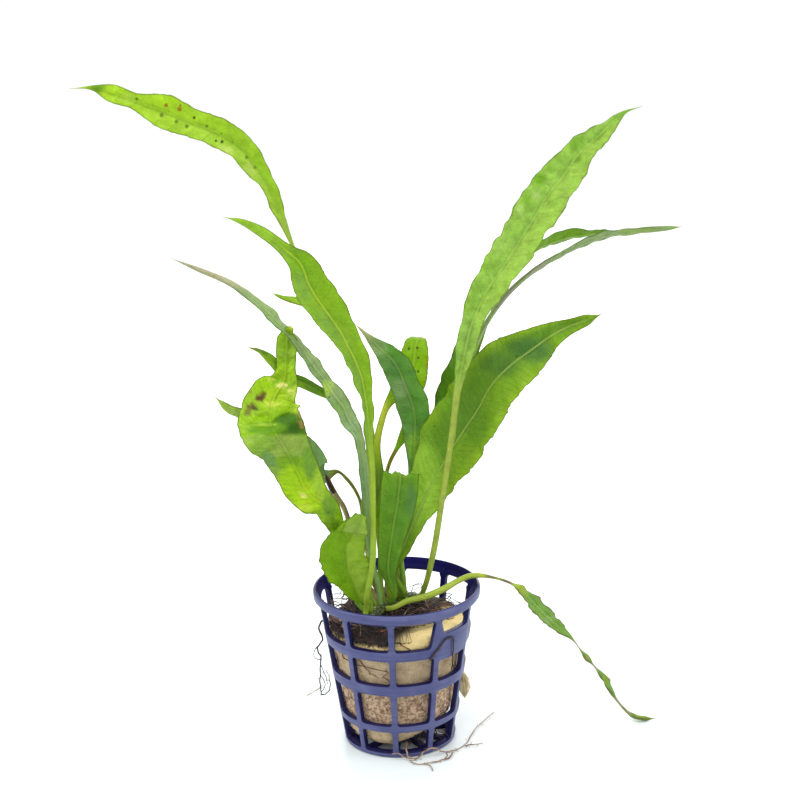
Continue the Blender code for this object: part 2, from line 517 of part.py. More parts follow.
def frond_rings(springing, cup, stations):
    """Cross-sections of a frond from foot to tip: round at the stalk, a thin lens along the blade."""
    stalk = [(*place, STALK, 0) for place in foot(*springing)]
    blade = [(x * MM, y * MM, z * MM, half * MM, turn) for x, y, z, half, turn in stations]
    route = smooth_route(stalk + blade, round(RINGS_PER_STATION * (len(stalk) + len(blade))))
    directions = np.gradient(route[:, :3], axis=0)
    across = np.cross((0, 1, 0), directions[0])
    fold = math.tan(math.radians(cup))
    rings = []
    for index, (x, y, z, half, turn) in enumerate(route):
        along = directions[index] / np.linalg.norm(directions[index])
        across = across - along * np.dot(across, along)
        across /= np.linalg.norm(across)
        front = np.cross(across, along)
        angle = math.radians(turn)
        wide = across * math.cos(angle) - front * math.sin(angle)
        face = front * math.cos(angle) + across * math.sin(angle)
        half = max(half, THINNEST)
        roundness = max(0, STALK - index * STALK_THINNING) if half < WIDEST_STALK else 0
        thick = min(half, BLADE + roundness)
        bend = fold * min(1, max(0, half / MM - 1))
        centre = np.array((x, y, z))
        ring = []
        for corner in range(RING_POINTS):
            spot = 2 * math.pi * corner / RING_POINTS
            reach = half * math.cos(spot)
            ring.append(centre + wide * reach + face * (thick * math.sin(spot) + bend * abs(reach)))
        rings.append(ring)
    return rings


def make_frond(name, springing, cup, finish, stations, parts):
    """A loft through the frond's rings, with a flat cap at the foot and at the tip."""
    bm = bmesh.new()
    rows = [[bm.verts.new(place) for place in ring] for ring in frond_rings(springing, cup, stations)]
    for lower, upper in zip(rows, rows[1:]):
        for corner in range(RING_POINTS):
            following = (corner + 1) % RING_POINTS
            bm.faces.new((lower[corner], lower[following], upper[following], upper[corner]))
    bm.faces.new(list(reversed(rows[0])))
    bm.faces.new(rows[-1])
    bmesh.ops.recalc_face_normals(bm, faces=bm.faces)
    bmesh.ops.triangulate(bm, faces=bm.faces)
    add_mesh(name, bm, parts, finish)


# The whole plant

def build():
    clear_objects()
    parts = new_collection("potted_java_fern")
    cutters = new_collection("cutters")
    make_pot(parts, cutters)
    make_wool(parts)
    make_wool_tuft(parts)
    make_root_mat(parts)
    make_root_beard(parts)
    make_rhizome(parts)
    make_roots(parts)
    for name, (springing, cup, finish, stations) in FRONDS.items():
        make_frond(name, springing, cup, finish, stations, parts)
    springing, cup, finish, stations = DEAD_STALK
    make_frond("dead_stalk", springing, cup, finish, stations, parts)


build()
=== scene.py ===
# %% [markdown]
# # A potted java fern
# The plant is a java fern in the slatted plastic pot that such plants are sold in. Its creeping stem, the
# rhizome, lies on a plug of rock wool, and dark hair roots grow from it. Every leaf of a fern is called a
# frond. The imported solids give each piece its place, and this lesson dresses them: each frond becomes a
# thin ribbed blade, the pot gets rounded windows, and the wool and the roots get their fibres.

# %% The frame and the tools
import json
import math
import random

import bmesh
import bpy
import numpy as np
from mathutils import Matrix, Vector, noise

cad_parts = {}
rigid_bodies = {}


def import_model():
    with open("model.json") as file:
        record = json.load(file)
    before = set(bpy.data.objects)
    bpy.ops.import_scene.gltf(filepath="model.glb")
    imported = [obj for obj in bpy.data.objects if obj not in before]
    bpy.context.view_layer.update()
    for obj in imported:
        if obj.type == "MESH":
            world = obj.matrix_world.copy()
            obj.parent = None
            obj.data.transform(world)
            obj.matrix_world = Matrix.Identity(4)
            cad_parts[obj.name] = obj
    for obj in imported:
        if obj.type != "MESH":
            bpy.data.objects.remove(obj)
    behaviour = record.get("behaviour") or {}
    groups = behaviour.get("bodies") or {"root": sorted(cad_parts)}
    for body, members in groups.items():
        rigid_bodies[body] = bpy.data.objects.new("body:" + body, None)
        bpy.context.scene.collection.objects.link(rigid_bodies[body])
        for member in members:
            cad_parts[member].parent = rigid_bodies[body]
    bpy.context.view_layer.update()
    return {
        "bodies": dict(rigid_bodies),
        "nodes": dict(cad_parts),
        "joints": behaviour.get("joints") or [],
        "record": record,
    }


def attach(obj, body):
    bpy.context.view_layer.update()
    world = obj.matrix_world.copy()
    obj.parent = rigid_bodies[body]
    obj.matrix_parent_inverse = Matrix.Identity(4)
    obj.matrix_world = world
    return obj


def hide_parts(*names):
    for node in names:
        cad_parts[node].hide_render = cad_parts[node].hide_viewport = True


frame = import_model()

MM = 0.001

# %% [markdown]
# ## Where the eye stands
# A lens of 75 mm from half a metre away, looking a little down and leaning slightly, shows the plant as a
# buyer would see it on a table. The camera's own axes are worked out first, because a lean is easier to
# write as three directions than as angles.

# %% The camera
PITCH = math.radians(14.9)
LEAN = math.radians(1.4)
ahead = Vector((0, math.cos(PITCH), -math.sin(PITCH)))
upright = Vector((0, math.sin(PITCH), math.cos(PITCH)))
level = Vector((1, 0, 0))
right = level * math.cos(LEAN) - upright * math.sin(LEAN)
up = upright * math.cos(LEAN) + level * math.sin(LEAN)
lens = bpy.data.cameras.new("eye")
lens.lens = 75
lens.sensor_width = 36
eye = bpy.data.objects.new("eye", lens)
bpy.context.scene.collection.objects.link(eye)
turn = Matrix((right, up, -ahead)).transposed().to_4x4()
eye.matrix_world = Matrix.Translation((0.0024, -0.4685, 0.2304)) @ turn
bpy.context.scene.camera = eye
print("camera looks along", [round(v, 3) for v in ahead])

# %% [markdown]
# ## A bright white studio
# The plant stands on a pale table in a white room, so the light comes from everywhere and the shadows are
# faint. A white world does most of the work. One wide lamp above and two tall ones at the sides add the
# gloss on the leaves and the pale streaks down the sides of the pot.

# %% The room and its lamps
bpy.context.scene.view_settings.view_transform = "Standard"
room = bpy.context.scene.world or bpy.data.worlds.new("room")
bpy.context.scene.world = room
room.use_nodes = True
backdrop = room.node_tree.nodes["Background"]
backdrop.inputs["Color"].default_value = (1, 1, 1, 1)
backdrop.inputs["Strength"].default_value = 1.03


def lamp(name, place, target, width, height, power):
    light = bpy.data.lights.new(name, "AREA")
    light.shape = "RECTANGLE"
    light.size = width
    light.size_y = height
    light.energy = power
    item = bpy.data.objects.new(name, light)
    bpy.context.scene.collection.objects.link(item)
    item.location = place
    item.rotation_euler = (Vector(target) - Vector(place)).to_track_quat("-Z", "Y").to_euler()
    return item


MIDDLE = (0, 0, 0.09)
lamp("lamp_above", (-0.15, -0.25, 0.9), MIDDLE, 0.7, 0.5, 5.0)
lamp("lamp_left", (-0.75, -0.25, 0.3), MIDDLE, 0.25, 0.7, 2.2)
lamp("lamp_right", (0.75, -0.15, 0.3), MIDDLE, 0.25, 0.7, 2.2)
lamp("lamp_behind", (0.1, 0.8, 0.45), MIDDLE, 0.6, 0.4, 3.0)
print("lamps:", len(bpy.data.lights))

# %% [markdown]
# ## Writing shaders as sums
# A material that varies over a surface is arithmetic on numbers, and node trees make arithmetic hard to
# read. The small class below stands for one output of a node: a sum or a product with it adds the Math
# node, so a mask is written as an ordinary expression.


# %% Wires and the bench they run on
class Wire:
    """One output of a node, which arithmetic works on."""

    def __init__(self, bench, socket):
        self.bench = bench
        self.socket = socket

    def __add__(self, other):
        return self.bench.maths("ADD", self, other)

    __radd__ = __add__

    def __sub__(self, other):
        return self.bench.maths("SUBTRACT", self, other)

    def __rsub__(self, other):
        return self.bench.maths("SUBTRACT", other, self)

    def __mul__(self, other):
        return self.bench.maths("MULTIPLY", self, other)

    __rmul__ = __mul__

    def __truediv__(self, other):
        return self.bench.maths("DIVIDE", self, other)

    def __abs__(self):
        return self.bench.maths("ABSOLUTE", self)


class Bench:
    """The nodes of one material."""

    def __init__(self, name, roughness=0.5):
        self.material = bpy.data.materials.new(name)
        self.material.use_nodes = True
        self.tree = self.material.node_tree
        self.shader = self.tree.nodes["Principled BSDF"]
        self.end = self.tree.nodes["Material Output"]
        self.shader.inputs["Roughness"].default_value = roughness
        self.place = self.add("ShaderNodeTexCoord", output="Object")

    def feed(self, socket, value):
        if isinstance(value, Wire):
            self.tree.links.new(value.socket, socket)
        elif socket.type == "RGBA":
            socket.default_value = (*value, 1)
        else:
            socket.default_value = value

    def add(self, kind, settings=None, sockets=None, output=0):
        """A node of any kind: its settings, then the values or wires of its sockets."""
        node = self.tree.nodes.new(kind)
        for key, value in (settings or {}).items():
            if key == "stops":
                for stop, (where, colour) in zip(node.color_ramp.elements, value):
                    stop.position, stop.color = where, (*colour, 1)
                for where, colour in value[2:]:
                    node.color_ramp.elements.new(where).color = (*colour, 1)
            else:
                setattr(node, key, value)
        for key, value in (sockets or {}).items():
            self.feed(node.inputs[key], value)
        return Wire(self, node.outputs[output])

    def maths(self, operation, *values):
        return self.add("ShaderNodeMath", {"operation": operation}, dict(enumerate(values)))

    def vector(self, operation, first, second, output=0):
        return self.add("ShaderNodeVectorMath", {"operation": operation}, {0: first, 1: second}, output)

    def blend(self, first, second, share, how="MIX"):
        """A colour between two, or one laid over the other in another way."""
        settings = {"data_type": "RGBA", "blend_type": how}
        return self.add("ShaderNodeMix", settings, {0: share, 6: first, 7: second}, 2)

    def rise(self, value, low, high):
        """0 below low, 1 above high, and smooth between; low may be the larger, and then it falls."""
        settings = {"interpolation_type": "SMOOTHSTEP"}
        if low < high:
            return self.add("ShaderNodeMapRange", settings, {0: value, 1: low, 2: high})
        return 1 - self.add("ShaderNodeMapRange", settings, {0: value, 1: high, 2: low})

    def cloud(self, scale, detail=3.0, where=None, rough=0.55):
        sockets = {"Vector": where or self.place, "Scale": scale, "Detail": detail, "Roughness": rough}
        return self.add("ShaderNodeTexNoise", None, sockets)

    def cells(self, scale, feature="DISTANCE_TO_EDGE", where=None):
        return self.add(
            "ShaderNodeTexVoronoi", {"feature": feature}, {"Vector": where or self.place, "Scale": scale})

    def read(self, name, output="Vector"):
        return self.add("ShaderNodeAttribute", {"attribute_name": name}, None, output)

    def parts(self, vector):
        node = self.add("ShaderNodeSeparateXYZ", None, {0: vector})
        return [Wire(self, socket) for socket in node.socket.node.outputs]

    def colour(self, value):
        self.feed(self.shader.inputs["Base Color"], value)

    def rough(self, value):
        self.feed(self.shader.inputs["Roughness"], value)

    def relief(self, height, depth):
        """Bumps as deep as the depth in metres where the height goes from 0 to 1."""
        bump = self.add("ShaderNodeBump", None, {"Strength": 1.0, "Distance": depth, "Height": height})
        self.feed(self.shader.inputs["Normal"], bump)


def dye(*screen):
    """A colour as it looks on a screen, 0 to 255, turned into the light that a shader works with."""
    return tuple(((c / 255 + 0.055) / 1.055) ** 2.4 if c > 10 else c / 255 / 12.92 for c in screen)


print("bench ready")

# %% [markdown]
# ## Pieces and their bodies
# This plant has no joint, so every piece rides on the one body, root. A finished piece hides the solids
# that it stands for. A shape is built in a bmesh and gets its object here.


# %% Finishing a piece
def settle(item, slot, *nodes):
    """The piece rides on the body and stands for the named solids, which it hides; the slot is not used."""
    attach(item, "root")
    if nodes:
        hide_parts(*nodes)
    return item


def piece(name, bm, material, slot, *nodes):
    """An object from a bmesh that is finished in place."""
    mesh = bpy.data.meshes.new(name)
    bm.to_mesh(mesh)
    bm.free()
    mesh.materials.append(material)
    item = bpy.data.objects.new(name, mesh)
    bpy.context.scene.collection.objects.link(item)
    return settle(item, slot, *nodes)


def outwards(bm):
    """Turns a closed shape's faces to point outwards."""
    bmesh.ops.recalc_face_normals(bm, faces=bm.faces)
    if bm.calc_volume(signed=True) < 0:
        bmesh.ops.reverse_faces(bm, faces=bm.faces)


def strands(name, routes, material, slot, *nodes, sides=1):
    """Round fibres as one mesh. Each route is a list of (place in metres, radius in metres)."""
    curve = bpy.data.curves.new(name, "CURVE")
    curve.dimensions = "3D"
    curve.bevel_depth = 1
    curve.bevel_resolution = sides
    curve.use_fill_caps = True
    for route in routes:
        spline = curve.splines.new("POLY")
        spline.points.add(len(route) - 1)
        for point, (place, radius) in zip(spline.points, route):
            point.co = (*place, 1)
            point.radius = radius
    drawn = bpy.data.objects.new(name + "_route", curve)
    bpy.context.scene.collection.objects.link(drawn)
    mesh = bpy.data.meshes.new_from_object(drawn.evaluated_get(bpy.context.evaluated_depsgraph_get()))
    bpy.data.objects.remove(drawn)
    bpy.data.curves.remove(curve)
    mesh.name = name
    mesh.materials.clear()
    mesh.materials.append(material)
    mesh.shade_smooth()
    item = bpy.data.objects.new(name, mesh)
    bpy.context.scene.collection.objects.link(item)
    return settle(item, slot, *nodes)


# %% [markdown]
# ## The table
# The table is a pale sheet, far larger than the view, so that no edge of it shows. It isn't part of the
# plant.

# %% A pale table
bm = bmesh.new()
bmesh.ops.create_grid(bm, x_segments=1, y_segments=1, size=6)
sheet = bpy.data.meshes.new("table")
bm.to_mesh(sheet)
bm.free()
table = bpy.data.objects.new("table", sheet)
bpy.context.scene.collection.objects.link(table)
pale = Bench("pale_table", 0.45)
away = pale.vector("LENGTH", pale.place, (0, 0, 0), "Value")
# Painted shade: near the pot the table is painted darker and a little blue-green. This evens out the stronger lamp
# light there and tints the faint shadows round the pot.
pale.colour(pale.blend((0.71, 0.765, 0.77), (0.985, 0.99, 0.99), pale.rise(away, 0.16, 0.7)))
sheet.materials.append(pale.material)
print("table laid")

# %% [markdown]
# ## The line that a frond follows
# A frond is drawn by a few stations from foot to tip. Each says where the midrib is, how wide the blade is
# there on either side of it, and how far the blade has turned about it. A smooth curve through the stations
# gives as many cross-sections as the fine mesh needs. The foot sits on the rhizome, whose own line is drawn
# in the same way.


# %% Smooth routes
def smooth_route(points, count):
    """Points at even shares of a smooth curve through the given points; extra columns follow along."""
    given = np.array(points, dtype=float)
    chords = np.linalg.norm(np.diff(given[:, :3], axis=0), axis=1)
    reach = np.concatenate([[0], np.cumsum(chords)])
    slopes = np.gradient(given, reach, axis=0)
    route = []
    for share in np.linspace(0, len(given) - 1, count):
        start = min(int(share), len(given) - 2)
        t = share - start
        step = reach[start + 1] - reach[start]
        route.append(
            (2 * t**3 - 3 * t**2 + 1) * given[start]
            + (t**3 - 2 * t**2 + t) * step * slopes[start]
            + (3 * t**2 - 2 * t**3) * given[start + 1]
            + (t**3 - t**2) * step * slopes[start + 1])
    return np.array(route)


RHIZOME_RADIUS = 2.0 * MM
RHIZOME = ((-10, -12, 42.0), (-6, -6, 42.3), (-2, -1, 42.4), (3, 3, 42.4), (8, 5, 42.2))
rhizome_line = smooth_route(RHIZOME, 41) * MM
STALK = 0.8 * MM
SUNK = -0.7 * MM
KNEE = 2.4 * MM


def foot(share, degrees):
    """Where a stalk leaves the rhizome: a point under its skin and a knee further out."""
    index = min(max(round(share * 40), 1), 39)
    along = rhizome_line[index + 1] - rhizome_line[index - 1]
    side = np.array([along[1], -along[0], 0])
    side /= np.linalg.norm(side)
    angle = math.radians(degrees)
    out = side * math.cos(angle) + np.array([0, 0, 1]) * math.sin(angle)
    return [rhizome_line[index] + out * (RHIZOME_RADIUS + reach) for reach in (SUNK, KNEE)]


print("rhizome is", round(float(np.linalg.norm(np.diff(rhizome_line, axis=0), axis=1).sum()) / MM, 1), "mm long")

# %% [markdown]
# ## A blade from one sheet
# A frond is a thin closed skin: the front, the edge and the back are one surface. A flat grid is folded
# round the cross-section, so its first and last columns meet along one edge and merge. Near the foot the
# section is a round stalk. Further up it flattens into a blade with a raised midrib, halves that fold up
# a little, and edges that wave. Two attributes record where on the blade each point lies, and a third holds
# the colour that is painted on it.

# %% Folding a grid into a frond
ACROSS = 22
RINGS_PER_STATION = 9
BLADE = 0.17 * MM
RIB = 0.34 * MM


def step_up(value, low, high):
    """0 below low, 1 above high, smooth between."""
    t = min(max((value - low) / (high - low), 0), 1)
    return t * t * (3 - 2 * t)


def frond_frames(springing, stations):
    """For each cross-section: centre, across, face, half width, turn and length along the midrib."""
    start = [(*place, STALK, 0) for place in foot(*springing)]
    blade = [(x * MM, y * MM, z * MM, half * MM, turn) for x, y, z, half, turn in stations]
    stops = start + blade
    route = smooth_route(stops, RINGS_PER_STATION * (len(stops) - 1) + 1)
    directions = np.gradient(route[:, :3], axis=0)
    across = np.cross((0, 1, 0), directions[0])
    travelled = np.concatenate([[0], np.cumsum(np.linalg.norm(np.diff(route[:, :3], axis=0), axis=1))])
    frames = []
    for (x, y, z, half, turn), direction, length in zip(route, directions, travelled):
        along = direction / np.linalg.norm(direction)
        across = across - along * np.dot(across, along)
        across /= np.linalg.norm(across)
        front = np.cross(across, along)
        angle = math.radians(turn)
        wide = across * math.cos(angle) - front * math.sin(angle)
        face = front * math.cos(angle) + across * math.sin(angle)
        frames.append((np.array((x, y, z)), wide, face, max(half, 0.12 * MM), length, along))
    return frames


def section(u, side, frame, cup, look, seed, share):
    """A point of the skin: u goes from one edge, -1, to the other, 1; side is 1 in front and -1 behind."""
    centre, wide, face, half, length, along = frame
    blade = step_up(half, 1.0 * MM, 2.0 * MM)
    tip = 1 - step_up(share, 0.94, 1.0) * 0.85 if look["tapers"] else 1
    half = half * tip
    reach = half * u
    mm = length / MM
    left_right = seed + (2.1 if u > 0 else 0)
    wave = math.sin(mm * 2 * math.pi / look["wavelength"] + left_right)
    wave += 0.5 * math.sin(mm * 2 * math.pi / (look["wavelength"] * 0.43) + 2 * left_right)
    ruffle = look["wave"] * MM * wave * abs(u) ** 2.2 * blade
    edge = 1 + look["ragged"] * noise.noise(Vector((mm * 0.9, left_right * 7, 0))) * blade
    fold = math.tan(math.radians(cup)) * min(1, max(0, half / MM - 1))
    soft = 0.5 * MM
    raised = fold * (math.sqrt(reach * reach + soft * soft) - soft)
    quilt = math.sin((mm * 0.9 - abs(reach) / MM * 0.8) * 2 * math.pi / look["vein_gap"])
    quilt = look["quilt"] * MM * quilt * (1 - abs(u) ** 6) * min(1, abs(reach) / (1.2 * MM)) * blade
    spot = Vector((mm * 0.35, reach / MM * 0.35, seed))
    crinkle = look["crinkle"] * MM * noise.noise(spot) * 2 * min(1, abs(reach) / (0.8 * MM)) * blade
    round_part = min(half, STALK * look["stalk"]) * math.sqrt(max(0, 1 - u * u))
    rib = RIB * (1 - 0.7 * share) * math.exp(-((reach / (0.55 * MM)) ** 2))
    flat_part = BLADE * (1 - abs(u) ** 5) + rib * (0.35 if side > 0 else 1.0)
    thick = round_part * (1 - blade) + flat_part * blade
    if share > 0.9999 or share < 0.0001:
        thick = 0
    jag = 0
    if look["torn"]:
        ragged_end = noise.noise(Vector((u * 3.1, seed, 2))) + 0.5 * noise.noise(Vector((u * 9, seed, 5)))
        jag = look["torn"] * MM * step_up(share, 0.8, 1) * ragged_end
    return centre + wide * reach * edge + along * jag + face * (raised + ruffle + quilt + crinkle + side * thick)


PLAIN = {
    "wave": 0.5, "wavelength": 17, "ragged": 0.05, "quilt": 0.10, "vein_gap": 4.2, "crinkle": 0.25,
    "stalk": 0.95, "torn": 0, "tapers": True}


def frond_skin(springing, cup, stations, look, seed, paint):
    """The closed skin of a frond, with its place on the blade and its painted colour on every point."""
    frames = frond_frames(springing, stations)
    count = len(frames)
    bm = bmesh.new()
    bmesh.ops.create_grid(bm, x_segments=2 * ACROSS, y_segments=count - 1, size=1)
    blade_layer = bm.verts.layers.float_vector.new("blade")
    span_layer = bm.verts.layers.float_vector.new("span")
    paint_layer = bm.verts.layers.float_color.new("paint")
    for vert in bm.verts:
        around_share = (vert.co.x + 1) / 2
        index = round((vert.co.y + 1) / 2 * (count - 1))
        side = 1 if around_share <= 0.5 else -1
        even = 1 - 4 * around_share if side > 0 else 4 * around_share - 3
        u = math.copysign(abs(even) ** 1.25, even)
        share = index / (count - 1)
        ring = frames[index]
        half = ring[3] / MM
        vert.co = section(u, side, ring, cup, look, seed, share)
        vert[blade_layer] = (u, share, half)
        vert[span_layer] = (u * half, ring[4] / MM, side * (1 - abs(u) ** 12))
        vert[paint_layer] = (*paint(u, share, half, vert.co / MM), 1)
    bmesh.ops.remove_doubles(bm, verts=bm.verts, dist=0.000002)
    for border in bm.edges:
        if all(abs(end[blade_layer][0]) > 0.999 and end[blade_layer][2] > 1.4 for end in border.verts):
            border.smooth = False
    outwards(bm)
    for skin_face in bm.faces:
        skin_face.smooth = True
    return bm


print("a frond has about", 2 * ACROSS * RINGS_PER_STATION * 14, "faces")

# %% [markdown]
# ## The stations of every frond
# These are nearly the places that the solids use, in millimetres: across, back, up, half width, and the turn
# of the blade in degrees. In front of them stand where the stalk springs from the rhizome, as a share of
# its length and degrees round it, and how far the two halves fold up.

